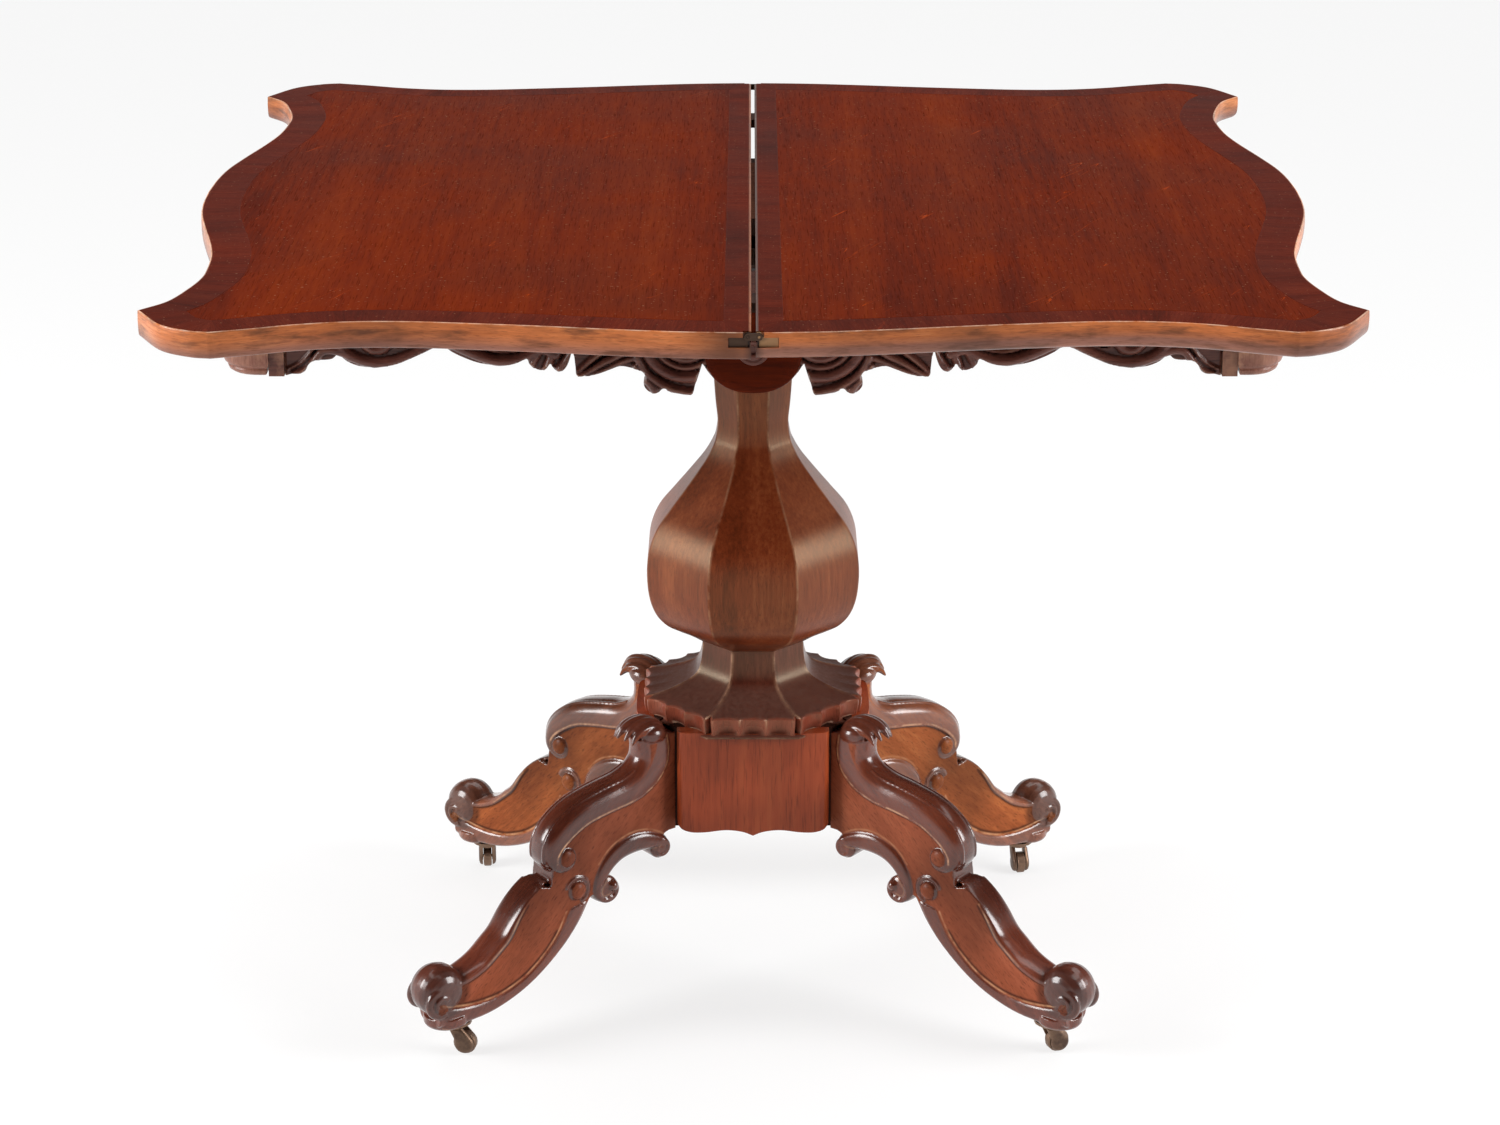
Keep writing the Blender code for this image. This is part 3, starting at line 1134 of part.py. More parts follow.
def caster_fork(name):
    """A castor's fork: crown, pintle and two cheeks with the axle's holes."""
    top = fork_top()
    fork = bar("fork", FORK_CROWN_RADIUS, "Z", (0, 0), top - FORK_CROWN_THICKNESS, top, ROUND_SIDES)
    parts = [bar("pintle", PINTLE_RADIUS, "Z", (0, 0), top - FORK_CROWN_THICKNESS / 2,
                 CASTER_HEIGHT + PINTLE_LENGTH - RUNNING_GAP)]
    for side in (-1, 1):
        inner = WHEEL_WIDTH / 2 + CHEEK_GAP
        parts.append(prism("cheek", cheek_outline(), "Y",
                           *span(side * inner, side * (inner + CHEEK_THICKNESS))))
    combine(fork, parts)
    reach = WHEEL_WIDTH + CHEEK_GAP + CHEEK_THICKNESS
    cut(fork, [bar("hole", AXLE_RADIUS + AXLE_CLEARANCE, "Y", (CASTER_TRAIL, WHEEL_RADIUS), -reach, reach)])
    return finish(turn_to_place(fork, name), "caster_fork_" + name, BRASS_FINISH)


def caster_axle(name):
    """The pin that a castor's wheel turns on."""
    half = WHEEL_WIDTH / 2 + CHEEK_GAP + CHEEK_THICKNESS
    axle = bar("axle", AXLE_RADIUS, "Y", (CASTER_TRAIL, WHEEL_RADIUS), -half, half)
    return finish(turn_to_place(axle, name), "caster_axle_" + name, BRASS_FINISH)


def caster_wheel(name):
    """A castor's brass wheel."""
    half = WHEEL_WIDTH / 2
    profile = ((WHEEL_RADIUS - WHEEL_CROWN, -half), (WHEEL_RADIUS, -half + WHEEL_CROWN),
               (WHEEL_RADIUS, half - WHEEL_CROWN), (WHEEL_RADIUS - WHEEL_CROWN, half))
    wheel = turned("wheel", profile, "Y", (CASTER_TRAIL, WHEEL_RADIUS), WHEEL_SIDES)
    bore = bar("bore", AXLE_RADIUS + AXLE_CLEARANCE, "Y", (CASTER_TRAIL, WHEEL_RADIUS),
               -WHEEL_WIDTH, WHEEL_WIDTH)
    return finish(turn_to_place(cut(wheel, [bore]), name), "caster_wheel_" + name, BRASS_FINISH)


def castor(name):
    """One castor, with its fork on the upright axis and its wheel on the axle's axis."""
    caster_plate(name)
    place = caster_place(name)
    angle = math.radians(CASTER_TRAIL_ANGLES[name])
    upright = axis_empty("swivel_axis_" + name, (place.x, place.y, CASTER_HEIGHT))
    hub = (place.x + CASTER_TRAIL * math.cos(angle), place.y + CASTER_TRAIL * math.sin(angle), WHEEL_RADIUS)
    axle = axis_empty("wheel_axis_" + name, hub, upright)
    carry(upright, [caster_fork(name), caster_axle(name)])
    carry(axle, [caster_wheel(name)])


# The whole table
def build_stand():
    """Frame, pillar, hub and legs, which stand still."""
    for name, (side, end) in LEGS.items():
        corner_block("corner_block_" + name, side, end)
        castor(name)
    front_apron()
    back_apron()
    end_apron("left_apron", -1)
    end_apron("right_apron", 1)
    pivot_rail()
    plain_rail()
    pillar_block()
    pillar()
    pillar_skirt()
    hub_core()
    hub_board("hub_front_board", "Y", -1)
    hub_board("hub_back_board", "Y", 1)
    hub_board("hub_left_board", "X", -1)
    hub_board("hub_right_board", "X", 1)
    legs()


def build_top():
    """The lower leaf on its swivel, the hinge links on its pins and the flap on the links."""
    swivel = axis_empty("top_swivel_axis", (-PIVOT_PLACE, PIVOT_PLACE, FRAME_TOP))
    pin_height = TABLE_HEIGHT - HINGE_PIN_DEPTH
    lower_pin = axis_empty("lower_pin_axis", (-HINGE_PIN_OFFSET, 0, pin_height), swivel)
    flap_pin = axis_empty("flap_pin_axis", (HINGE_PIN_OFFSET, 0, pin_height), lower_pin)
    carry(swivel, [lower_leaf(), field_veneer("lower_field_veneer", -1), crossband("lower_crossband", -1),
                   hinge_plate("hinge_plate_lower_front", -1, -1),
                   hinge_plate("hinge_plate_lower_back", -1, 1),
                   pivot_plate(), pivot_bolt(), pivot_washer(), pivot_nut()])
    carry(lower_pin, [hinge_link("hinge_link_front", -1), hinge_link("hinge_link_back", 1)])
    carry(flap_pin, [flap_leaf(), field_veneer("flap_field_veneer", 1), crossband("flap_crossband", 1),
                     hinge_plate("hinge_plate_flap_front", 1, -1),
                     hinge_plate("hinge_plate_flap_back", 1, 1),
                     leaf_tenon("leaf_tenon_front", -1), leaf_tenon("leaf_tenon_back", 1)])


clear_scene()
build_stand()
build_top()
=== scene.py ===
"""Dresses the card table's CAD model: carving, veneers, wood finishes, camera and light.

Metres, +Z up, in the CAD frame. The lower leaf is on the -X side, the flap on the +X side.
"""

import math

import bmesh
import bpy
import numpy as np
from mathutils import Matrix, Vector


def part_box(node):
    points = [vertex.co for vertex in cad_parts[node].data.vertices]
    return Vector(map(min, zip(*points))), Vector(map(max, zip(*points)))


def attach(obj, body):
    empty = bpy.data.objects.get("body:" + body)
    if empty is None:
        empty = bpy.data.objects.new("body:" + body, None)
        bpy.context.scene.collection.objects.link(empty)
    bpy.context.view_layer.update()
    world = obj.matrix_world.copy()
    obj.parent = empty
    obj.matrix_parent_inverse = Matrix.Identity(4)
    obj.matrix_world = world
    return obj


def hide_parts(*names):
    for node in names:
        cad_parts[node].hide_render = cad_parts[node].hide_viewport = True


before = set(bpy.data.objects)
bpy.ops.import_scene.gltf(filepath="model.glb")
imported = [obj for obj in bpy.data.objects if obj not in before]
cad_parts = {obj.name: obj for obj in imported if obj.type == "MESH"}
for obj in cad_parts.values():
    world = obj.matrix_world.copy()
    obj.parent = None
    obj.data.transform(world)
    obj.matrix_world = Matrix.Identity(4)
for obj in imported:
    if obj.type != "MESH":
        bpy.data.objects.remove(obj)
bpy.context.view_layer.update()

# Sizes shared with the CAD model
TABLE_HEIGHT = 0.745
LEAF_DEPTH = 0.4805
HALF_WIDTH = 0.4605
LEAF_THICKNESS = 0.022
LEAF_UNDERSIDE = TABLE_HEIGHT - LEAF_THICKNESS
JOINT_EDGE = 0.00175
FRAME_TOP = 0.7225
HUB_BOTTOM = 0.166
HUB_TOP = 0.2637
HUB_REACH = 0.1005
SKIRT_BOTTOM = 0.264
SKIRT_TOP = 0.3265
PILLAR_BOTTOM = 0.3268
PILLAR_TOP = 0.6679
LEG_AZIMUTH = math.radians(36.7)
LEG_HALF = 0.016
CASTER_HEIGHT = 0.0325
LEGS = {"front_left": (-1, -1), "front_right": (1, -1), "back_left": (-1, 1), "back_right": (1, 1)}
MILLIMETRE = 0.001


# Points and curves
def metres(values):
    """A point, or one value, given in millimetres."""
    return values * MILLIMETRE if isinstance(values, (int, float)) else Vector(values) * MILLIMETRE


def direction(angle):
    """The unit vector of the plane at an angle."""
    return Vector((math.cos(angle), math.sin(angle)))


def in_plane(point, across):
    """A point of the upright plane of X and Z, set so far along Y."""
    return Vector((point.x, across, point.y))


def at_height(points, height):
    """Points of the floor's plane, raised to a height."""
    return [Vector((point.x, point.y, height)) for point in points]


def unit(values):
    """Values held between 0 and 1."""
    return np.clip(values, 0, 1)


def smooth_curve(points, steps):
    """Points on a smooth curve through the given ones, with so many steps to each span."""
    points = [Vector(point) for point in points]
    ends = [2 * points[0] - points[1]] + points + [2 * points[-1] - points[-2]]
    curve = []
    for before, start, stop, after in zip(ends, ends[1:], ends[2:], ends[3:]):
        for count in range(steps):
            share = count / steps
            curve.append(0.5 * (2 * start + (stop - before) * share
                                + (2 * before - 5 * start + 4 * stop - after) * share ** 2
                                + (3 * start - before - 3 * stop + after) * share ** 3))
    return curve + [points[-1]]


def arc_lengths(points):
    """Distance along a polyline at each of its points."""
    lengths = [0.0]
    for start, stop in zip(points, points[1:]):
        lengths.append(lengths[-1] + (stop - start).length)
    return lengths


def resampled(points, count):
    """The same polyline with evenly spaced points."""
    lengths = arc_lengths(points)
    places = np.linspace(0, lengths[-1], count)
    columns = [np.interp(places, lengths, column) for column in zip(*points)]
    return [Vector(values) for values in zip(*columns)]


def heading(path, index):
    """The direction of a polyline at one of its points."""
    return (path[min(index + 1, len(path) - 1)] - path[max(index - 1, 0)]).normalized()


def line_corner(first, second):
    """Where two lines of the plane meet, or the point between them when they run the same way."""
    (start, along), (other, aside) = first, second
    crossing = along.x * aside.y - along.y * aside.x
    if abs(crossing) < math.radians(0.5):
        midway = along + aside
        middle = (start + other) / 2
        return middle + midway * ((other - middle).dot(midway) / midway.length_squared)
    gap = other - start
    return start + along * ((gap.x * aside.y - gap.y * aside.x) / crossing)


def offset_outline(outline, insets, prune=False):
    """Moves each side of an anticlockwise outline inwards by its own inset.

    With prune, the sides that the offset turns round are dropped.
    """
    lines = []
    for here, inset in enumerate(insets):
        start = Vector(outline[here])
        along = (Vector(outline[(here + 1) % len(outline)]) - start).normalized()
        lines.append((start + Vector((-along.y, along.x)) * inset, along))
    while True:
        corners = [line_corner(lines[index - 1], lines[index]) for index in range(len(lines))]
        runs = [(after - corner).dot(along)
                for corner, after, (_, along) in zip(corners, corners[1:] + corners[:1], lines)]
        if not prune or min(runs) > 0:
            return corners
        lines.pop(runs.index(min(runs)))


def drawn_in(outline, inset, last=None, prune=False):
    """An outline drawn in all round; its last side can have its own inset."""
    return offset_outline(outline, [inset] * (len(outline) - 1) + [inset if last is None else last], prune)


def nearest_on(loop, points):
    """The points of a closed polyline that lie nearest to each of the given points."""
    starts = np.array([tuple(point) for point in loop])
    along = np.roll(starts, -1, 0) - starts
    found = []
    for point in points:
        share = unit(((np.array(point) - starts) * along).sum(1) / (along ** 2).sum(1))
        places = starts + along * share[:, None]
        found.append(Vector(places[((places - np.array(point)) ** 2).sum(1).argmin()]))
    return found


def reaches(node):
    """A CAD node's box, and how near and far it reaches from the table's axis along X and along Y."""
    low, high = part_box(node)
    return low, high, sorted((abs(low.x), abs(high.x))), sorted((abs(low.y), abs(high.y)))


# Meshes
def placed(name, data):
    """A new object in the scene."""
    item = bpy.data.objects.new(name, data)
    bpy.context.scene.collection.objects.link(item)
    return item


def turn_outwards(mesh, clean=False):
    """Turns a mesh's faces outwards, if asked after joining points that coincide."""
    shape = bmesh.new()
    shape.from_mesh(mesh)
    if clean:
        bmesh.ops.remove_doubles(shape, verts=shape.verts, dist=1e-6)
        bmesh.ops.dissolve_degenerate(shape, edges=shape.edges, dist=1e-6)
    bmesh.ops.recalc_face_normals(shape, faces=shape.faces)
    shape.to_mesh(mesh)
    shape.free()


def shade(mesh, sharp=None):
    """Shades a mesh smooth, but for edges that turn by more than an angle in degrees."""
    mesh.shade_smooth()
    if sharp is not None:
        mesh.set_sharp_from_angle(angle=math.radians(sharp))


def new_object(name, verts, faces, smooth=True, sharp=None):
    """An object from points and faces, with its faces turned outwards."""
    mesh = bpy.data.meshes.new(name)
    mesh.from_pydata([tuple(vert) for vert in verts], [], faces)
    turn_outwards(mesh)
    if smooth:
        shade(mesh, sharp)
    return placed(name, mesh)


def applied(item):
    """The mesh of an object with its modifiers applied."""
    return bpy.data.meshes.new_from_object(item.evaluated_get(bpy.context.evaluated_depsgraph_get()))


def mark(item, name, values):
    """Stores one number for each point of a mesh."""
    layer = item.data.attributes.new(name, "FLOAT", "POINT")
    layer.data.foreach_set("value", np.asarray(values, np.float32))


def loft_shape(rings, caps=True):
    """The points and faces of a loft through rings of as many points each."""
    columns, last = len(rings[0]), (len(rings) - 1) * len(rings[0])
    faces = []
    for low in range(0, last, columns):
        high = low + columns
        faces += [(low + here, low + (here + 1) % columns, high + (here + 1) % columns, high + here)
                  for here in range(columns)]
    if caps:
        faces += [tuple(reversed(range(columns))), tuple(range(last, last + columns))]
    return [point for ring in rings for point in ring], faces


def lofted(name, rings, around=None, along=None, marks=(), caps=True, sharp=None):
    """A lofted object. around and along give the texture map's two distances."""
    columns = len(rings[0])
    item = new_object(name, *loft_shape(rings, caps), sharp=sharp)
    if around is not None:
        layer = item.data.uv_layers.new(name="UVMap")
        for face in item.data.polygons:
            places = [divmod(vertex, columns) for vertex in face.vertices]
            used = [column for _, column in places]
            wraps = len(places) == 4 and max(used) - min(used) > 1
            for loop, (row, column) in zip(face.loop_indices, places):
                layer.data[loop].uv = (around[columns if wraps and column == 0 else column], along[row])
    for label, values in marks:
        mark(item, label, np.repeat(values, columns) if len(values) == len(rings) else values)
    return item


def merged(shapes):
    """The points and faces of several shapes as one."""
    verts, faces = [], []
    for points, loops in shapes:
        faces += [tuple(index + len(verts) for index in loop) for loop in loops]
        verts += points
    return verts, faces


def fused(name, shapes, voxel):
    """One skin round overlapping closed shapes, lightly smoothed."""
    rough = new_object(name + "_rough", *merged(shapes))
    remesh = rough.modifiers.new("skin", "REMESH")
    remesh.mode, remesh.voxel_size = "VOXEL", voxel
    smoothing = rough.modifiers.new("smooth", "SMOOTH")
    smoothing.iterations, smoothing.factor = 2, 0.5
    mesh = applied(rough)
    bpy.data.objects.remove(rough, do_unlink=True)
    mesh.name = name
    shade(mesh)
    return placed(name, mesh)


def dress(item, body, slot, looks, *nodes):
    """Gives a new piece its materials, the CAD nodes it stands for and the body it rides on; the slot is not
    used.
    """
    for look in looks:
        item.data.materials.append(look)
    if nodes:
        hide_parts(*nodes)
    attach(item, body)


# Materials
class Tree:
    """The node tree of a material or of the world, with one call to a node."""

    def __init__(self, owner):
        owner.use_nodes = True
        self.owner, self.nodes, self.links = owner, owner.node_tree.nodes, owner.node_tree.links
        self.colour = self.roughness = None

    def fill(self, node, inputs):
        """Sets or links a node's inputs."""
        for key, value in inputs.items():
            if isinstance(value, bpy.types.NodeSocket):
                self.links.new(value, node.inputs[key])
            else:
                node.inputs[key].default_value = value

    def add(self, kind, inputs=(), out=0, **settings):
        """Adds a node and gives the socket that is asked for."""
        made = self.nodes.new("ShaderNode" + kind)
        for key, value in settings.items():
            setattr(made, key, value)
        self.fill(made, dict(inputs))
        return made.outputs[out]

    def math(self, operation, first, second=0.0, clamp=False):
        """One step of arithmetic on numbers or sockets."""
        return self.add("Math", {0: first, 1: second}, operation=operation, use_clamp=clamp)

    def plus(self, first, second):
        """Their sum."""
        return self.math("ADD", first, second)

    def times(self, first, second):
        """Their product."""
        return self.math("MULTIPLY", first, second)

    def most(self, first, second):
        """The greater of the two."""
        return self.math("MAXIMUM", first, second)

    def ramp(self, value, *stops):
        """A colour ramp; a stop is a place and a colour or a grey value."""
        made = self.nodes.new("ShaderNodeValToRGB")
        self.links.new(value, made.inputs[0])
        steps = made.color_ramp.elements
        while len(steps) < len(stops):
            steps.new(0.5)
        for step, (place, colour) in zip(steps, stops):
            step.position = place
            step.color = (*((colour,) * 3 if isinstance(colour, (int, float)) else colour), 1.0)
        return made.outputs[0]

    def rise(self, value, start, stop):
        """A ramp from 0 to 1."""
        return self.ramp(value, (start, 0.0), (stop, 1.0))

    def mix(self, share, first, second, blend="MIX"):
        """Two colours mixed by a share."""
        first, second = ((*value, 1.0) if isinstance(value, tuple) else value for value in (first, second))
        return self.add("Mix", {0: share, 6: first, 7: second}, 2, data_type="RGBA", blend_type=blend)

    def noise(self, place, scale, detail, rough=0.5, distortion=0.0):
        """Cloudy noise at a place."""
        return self.add("TexNoise", {"Vector": place, "Scale": scale, "Detail": detail,
                                     "Roughness": rough, "Distortion": distortion})

    def stretched(self, place, scale, turn=(0, 0, 0)):
        """Coordinates turned and then stretched."""
        return self.add("Mapping", {"Vector": self.add("Mapping", {"Vector": place, "Rotation": turn}),
                                    "Scale": scale})

    def attribute(self, name):
        """One of the numbers that are stored with a mesh's points."""
        return self.add("Attribute", out="Fac", attribute_name=name, attribute_type="GEOMETRY")

    def pointiness(self):
        """How far the surface stands out or is sunk, 0.5 where it is flat."""
        return self.add("NewGeometry", out="Pointiness")

    def thin_lines(self, lines, width, spots):
        """Thin lines at the middle value of a noise, where there are spots."""
        near = self.math("ABSOLUTE", self.math("SUBTRACT", lines, 0.5))
        return self.times(self.math("LESS_THAN", near, width), spots)

    def lay(self, colour, cover, share=None, rougher=0.0):
        """Lays a colour over the surface as far as it is covered, and roughens it there."""
        self.colour = self.mix(cover if share is None else self.times(cover, share), self.colour, colour)
        if rougher:
            self.roughness = self.plus(self.roughness, self.times(cover, rougher))


def scaled(colour, factor):
    """A colour made lighter or darker."""
    return tuple(value * factor for value in colour)


TONES = (0.34, 0.50, 0.66)
SPECK = (0.42, 0.24, 0.15)
COAT_ROUGHNESS = 0.17


def wood(name, shades, grain, turn=(0, 0, 0), uv=False, figure=18.0, streaks=0.5, flecks=0.5, patch=0.35,
         rough=0.34, coat=0.0, specular=0.16, tint=(1.0, 1.0, 1.0), face=None, border=None, smears=None,
         scratches=0.0, specks=0.0, cracks=0.0, dirt_and_shade=None, painted_shade=False, wear=None, wear_mark=None,
         wear_share=0.6, dust=None, joint_shade=None, bump=0.12):
    """A polished wood in three shades. grain stretches the pattern, least along the small number.

    The colours of face, border, smears, dirt and painted shade, wear, dust and the joint's painted shade are
    laid over it one by one.
    """
    dark, _, light = shades
    tree = Tree(bpy.data.materials.new(name))
    place = tree.add("TexCoord", out="UV" if uv else "Object")
    along = tree.stretched(place, grain, turn)
    broad = tree.noise(along, figure, 4.0, 0.55, 0.6)
    fine = tree.noise(along, figure * 14, 5.0, 0.65)
    tone = tree.plus(tree.times(broad, 1 - streaks), tree.times(fine, streaks))
    tree.colour = tree.ramp(tone, *zip(TONES, shades))
    if face is not None:
        tree.lay(tree.ramp(tone, *zip(TONES, face)), tree.attribute("flat"))
    if border is not None:
        tree.lay(border, tree.attribute("border"), 0.85)
    if smears is not None:
        spread = tree.rise(tree.noise(tree.stretched(place, (1.0, 5.0, 1.0)), 20.0, 4.0, 0.6), 0.50, 0.66)
        tree.lay(smears, tree.most(spread, tree.attribute("stain")), 0.8)
    clouds = tree.noise(place, 5.0, 3.0, 0.6)
    blotches = tree.ramp(clouds, (0.35, 1.0 - patch), (0.65, 1.0 + patch * 0.35))
    tree.colour = tree.mix(1.0, tree.colour, blotches, "MULTIPLY")
    tree.roughness = tree.plus(rough, tree.times(tree.math("SUBTRACT", clouds, 0.5), 0.25))
    pores = tree.rise(tree.noise(along, figure * 60, 2.0), 0.56, 0.70)
    tree.lay(scaled(dark, 0.25), pores, flecks, 0.10)
    if scratches:
        lines = tree.noise(tree.stretched(place, (50, 2.2, 10), (0, 0, 0.5)), 1.0, 1.5)
        spots = tree.rise(tree.noise(place, 16.0, 2.0), 0.56, 0.62)
        tree.lay(scaled(light, 2.2), tree.thin_lines(lines, 0.0022, spots), scratches)
    if specks:
        tree.lay(SPECK, tree.rise(tree.noise(place, 330.0, 1.0), 0.70, 0.76), specks)
    if cracks:
        lines = tree.noise(tree.stretched(place, (1.0, 1.0, 0.10)), 13.0, 2.0)
        spots = tree.rise(tree.noise(place, 9.0, 2.0), 0.50, 0.56)
        tree.lay(scaled(dark, 0.2), tree.thin_lines(lines, 0.0045, spots), cracks)
    # Hollows are darkened, partly as dirt and partly as painted shade in the creases, and on the legs by
    # their marked painted shade too.
    if dirt_and_shade is not None:
        low = tree.ramp(tree.pointiness(), (0.40, 1.0), (0.495, 0.0))
        if painted_shade:
            low = tree.most(low, tree.attribute("painted_shade"))
        tree.lay(dirt_and_shade, low, 0.85, 0.25)
    if wear is not None:
        worn = tree.attribute(wear_mark) if wear_mark else tree.rise(tree.pointiness(), 0.53, 0.60)
        if wear_mark and dirt_and_shade is not None:
            worn = tree.most(worn, tree.ramp(tree.pointiness(), (0.545, 0.0), (0.64, 0.7)))
        rubbed = tree.rise(tree.noise(place, 55.0, 4.0, 0.65), 0.38, 0.60)
        worn = tree.math("MULTIPLY", tree.times(worn, rubbed), wear_share, clamp=True)
        tree.lay(wear, worn, rougher=0.12)
    if dust is not None:
        upward = tree.add("SeparateXYZ", {0: tree.add("NewGeometry", out="Normal")}, "Z")
        grains = tree.ramp(tree.noise(place, 240.0, 4.0, 0.7), (0.35, 0.45), (0.65, 1.0))
        tree.lay(dust, tree.times(tree.rise(upward, 0.55, 0.90), grains), 0.9, 0.35)
    # Painted shade of the joint between the leaves.
    if joint_shade is not None:
        tree.lay(joint_shade, tree.attribute("joint_shade"))
    relief = tree.plus(tree.times(pores, -0.6), tree.times(fine, 0.5))
    tree.fill(tree.nodes["Principled BSDF"], {
        "Base Color": tree.colour, "Roughness": tree.roughness, "Specular IOR Level": specular,
        "Specular Tint": (*tint, 1.0), "Coat Weight": coat, "Coat Roughness": COAT_ROUGHNESS,
        "Normal": tree.add("Bump", {"Strength": bump, "Distance": 0.0006, "Height": relief})})
    return tree.owner


def metal(name, dull, bright, rough=0.42, metallic=0.85):
    """Tarnished metal, brighter where it is rubbed."""
    tree = Tree(bpy.data.materials.new(name))
    place = tree.add("TexCoord", out="Object")
    stain = tree.noise(place, 120.0, 5.0, 0.65)
    tree.colour = tree.ramp(stain, (0.35, dull), (0.68, bright))
    tree.lay(scaled(bright, 1.8), tree.rise(tree.pointiness(), 0.52, 0.60), 0.6)
    relief = tree.noise(place, 900.0, 3.0, 0.6)
    tree.fill(tree.nodes["Principled BSDF"], {
        "Base Color": tree.colour, "Roughness": tree.plus(rough - 0.12, tree.times(stain, 0.30)),
        "Metallic": metallic,
        "Normal": tree.add("Bump", {"Strength": 0.15, "Distance": 0.0004, "Height": relief})})
    return tree.owner


ALONG_X = (0.05, 1.0, 1.0)
ALONG_Y = (1.0, 0.045, 1.0)
ALONG_Z = (1.0, 1.0, 0.05)
FIELD_WOOD = wood("field_veneer_wood", ((0.09, 0.008, 0.001), (0.152, 0.015, 0.001), (0.194, 0.024, 0.002)),
                  ALONG_Y, figure=16.0, streaks=0.45, flecks=0.40, patch=0.22, rough=0.38, specular=0.006,
                  scratches=0.6, specks=0.35, bump=0.06)
BAND_WOOD = wood("crossband_wood", ((0.06, 0.007, 0.002), (0.108, 0.012, 0.004), (0.152, 0.022, 0.008)),
                 (1.0, 0.06, 1.0), uv=True, figure=34.0, streaks=0.55, flecks=0.35, patch=0.30, rough=0.36,
                 specular=0.008, scratches=0.25, specks=0.35, bump=0.05)
# The edge's border colour is a painted grey-pink reflection of the floor on the rounded underside.
EDGE_WOOD = wood("leaf_edge_wood", ((0.33, 0.078, 0.016), (0.6, 0.175, 0.048), (0.82, 0.33, 0.13)),
                 (0.07, 1.0, 1.0), uv=True, figure=26.0, streaks=0.35, patch=0.45, coat=0.25,
                 border=(0.25, 0.11, 0.08), smears=(0.12, 0.036, 0.013), wear=(0.66, 0.44, 0.32),
                 wear_mark="arris", wear_share=0.8, joint_shade=(0.07, 0.024, 0.013), bump=0.10)
FRAME_SHADES = ((0.05, 0.016, 0.012), (0.105, 0.036, 0.026), (0.16, 0.058, 0.04))
# Its dirt colour darkens the hollows as dirt and painted shade.
FRAME_WOOD = wood("frame_wood", FRAME_SHADES, ALONG_X, figure=22.0, patch=0.3, coat=0.20,
                  dirt_and_shade=(0.01, 0.004, 0.003), wear=(0.34, 0.17, 0.1), wear_share=0.5)
END_FRAME_WOOD = wood("end_frame_wood", FRAME_SHADES, ALONG_Y, figure=22.0, patch=0.3, coat=0.20)
# Nearly black painted shade for the apron's round hollows, standing in for openings through the board.
HOLLOW_SHADE_WOOD = wood("apron_hollow_shade_wood", ((0.01, 0.003, 0.002), (0.02, 0.006, 0.004), (0.034, 0.01, 0.006)),
                   ALONG_X, figure=22.0, patch=0.3, rough=0.55)
TABLET_WOOD = wood("tablet_wood", ((0.04, 0.005, 0.001), (0.075, 0.008, 0.001), (0.11, 0.015, 0.002)),
                   ALONG_X, figure=34.0, patch=0.2, specular=0.03)
BLOCK_WOOD = wood("corner_block_wood", ((0.13, 0.046, 0.03), (0.205, 0.08, 0.054), (0.28, 0.12, 0.082)),
                  ALONG_Z, figure=26.0, patch=0.3, rough=0.36, coat=0.15, wear=(0.45, 0.24, 0.14))
# Its border colour is a painted shade for the dark middle of the front facets; the pillar marks no border, so
# it is not drawn.
PILLAR_WOOD = wood("pillar_wood", ((0.07, 0.01, 0.002), (0.14, 0.023, 0.006), (0.22, 0.052, 0.016)),
                   ALONG_Z, figure=24.0, patch=0.30, rough=0.32, specular=0.45, tint=(1.0, 0.78, 0.48),
                   border=(0.035, 0.006, 0.002), wear=(0.55, 0.34, 0.2), wear_mark="arris", wear_share=0.25)
SKIRT_WOOD = wood("skirt_wood", ((0.05, 0.009, 0.005), (0.095, 0.02, 0.011), (0.15, 0.038, 0.021)),
                  ALONG_Z, figure=24.0, rough=0.32, specular=0.45, tint=(1.0, 0.82, 0.56),
                  border=(0.29, 0.065, 0.035), dirt_and_shade=(0.012, 0.005, 0.004), wear=(0.6, 0.34, 0.2),
                  wear_mark="worn", dust=(0.095, 0.038, 0.028))
HUB_WOOD = wood("hub_board_wood", ((0.26, 0.04, 0.01), (0.43, 0.075, 0.022), (0.54, 0.12, 0.036)),
                ALONG_Z, figure=14.0, streaks=0.35, patch=0.45, rough=0.36, coat=0.15, cracks=0.8)


def leg_looks(name, shades, face):
    """A leg's two finishes: the polished rolls, and the duller flat sides."""
    return [wood(name + label, shades, (0.16, 1.0, 1.0), (0, -0.75, 0), streaks=0.35, patch=0.60, rough=rough,
                 coat=coat, specular=specular, face=face, dirt_and_shade=(0.014, 0.005, 0.004), painted_shade=True,
                 wear=(0.7, 0.38, 0.2), wear_mark="worn", wear_share=0.85)
            for label, rough, coat, specular in (("_rolls", 0.24, 0.90, 0.20), ("_sides", 0.42, 0.05, 0.10))]


FRONT_LEG_LOOKS = leg_looks("leg_wood", ((0.08, 0.016, 0.008), (0.145, 0.034, 0.017), (0.21, 0.054, 0.028)),
                            ((0.21, 0.05, 0.02), (0.285, 0.074, 0.034), (0.36, 0.105, 0.048)))
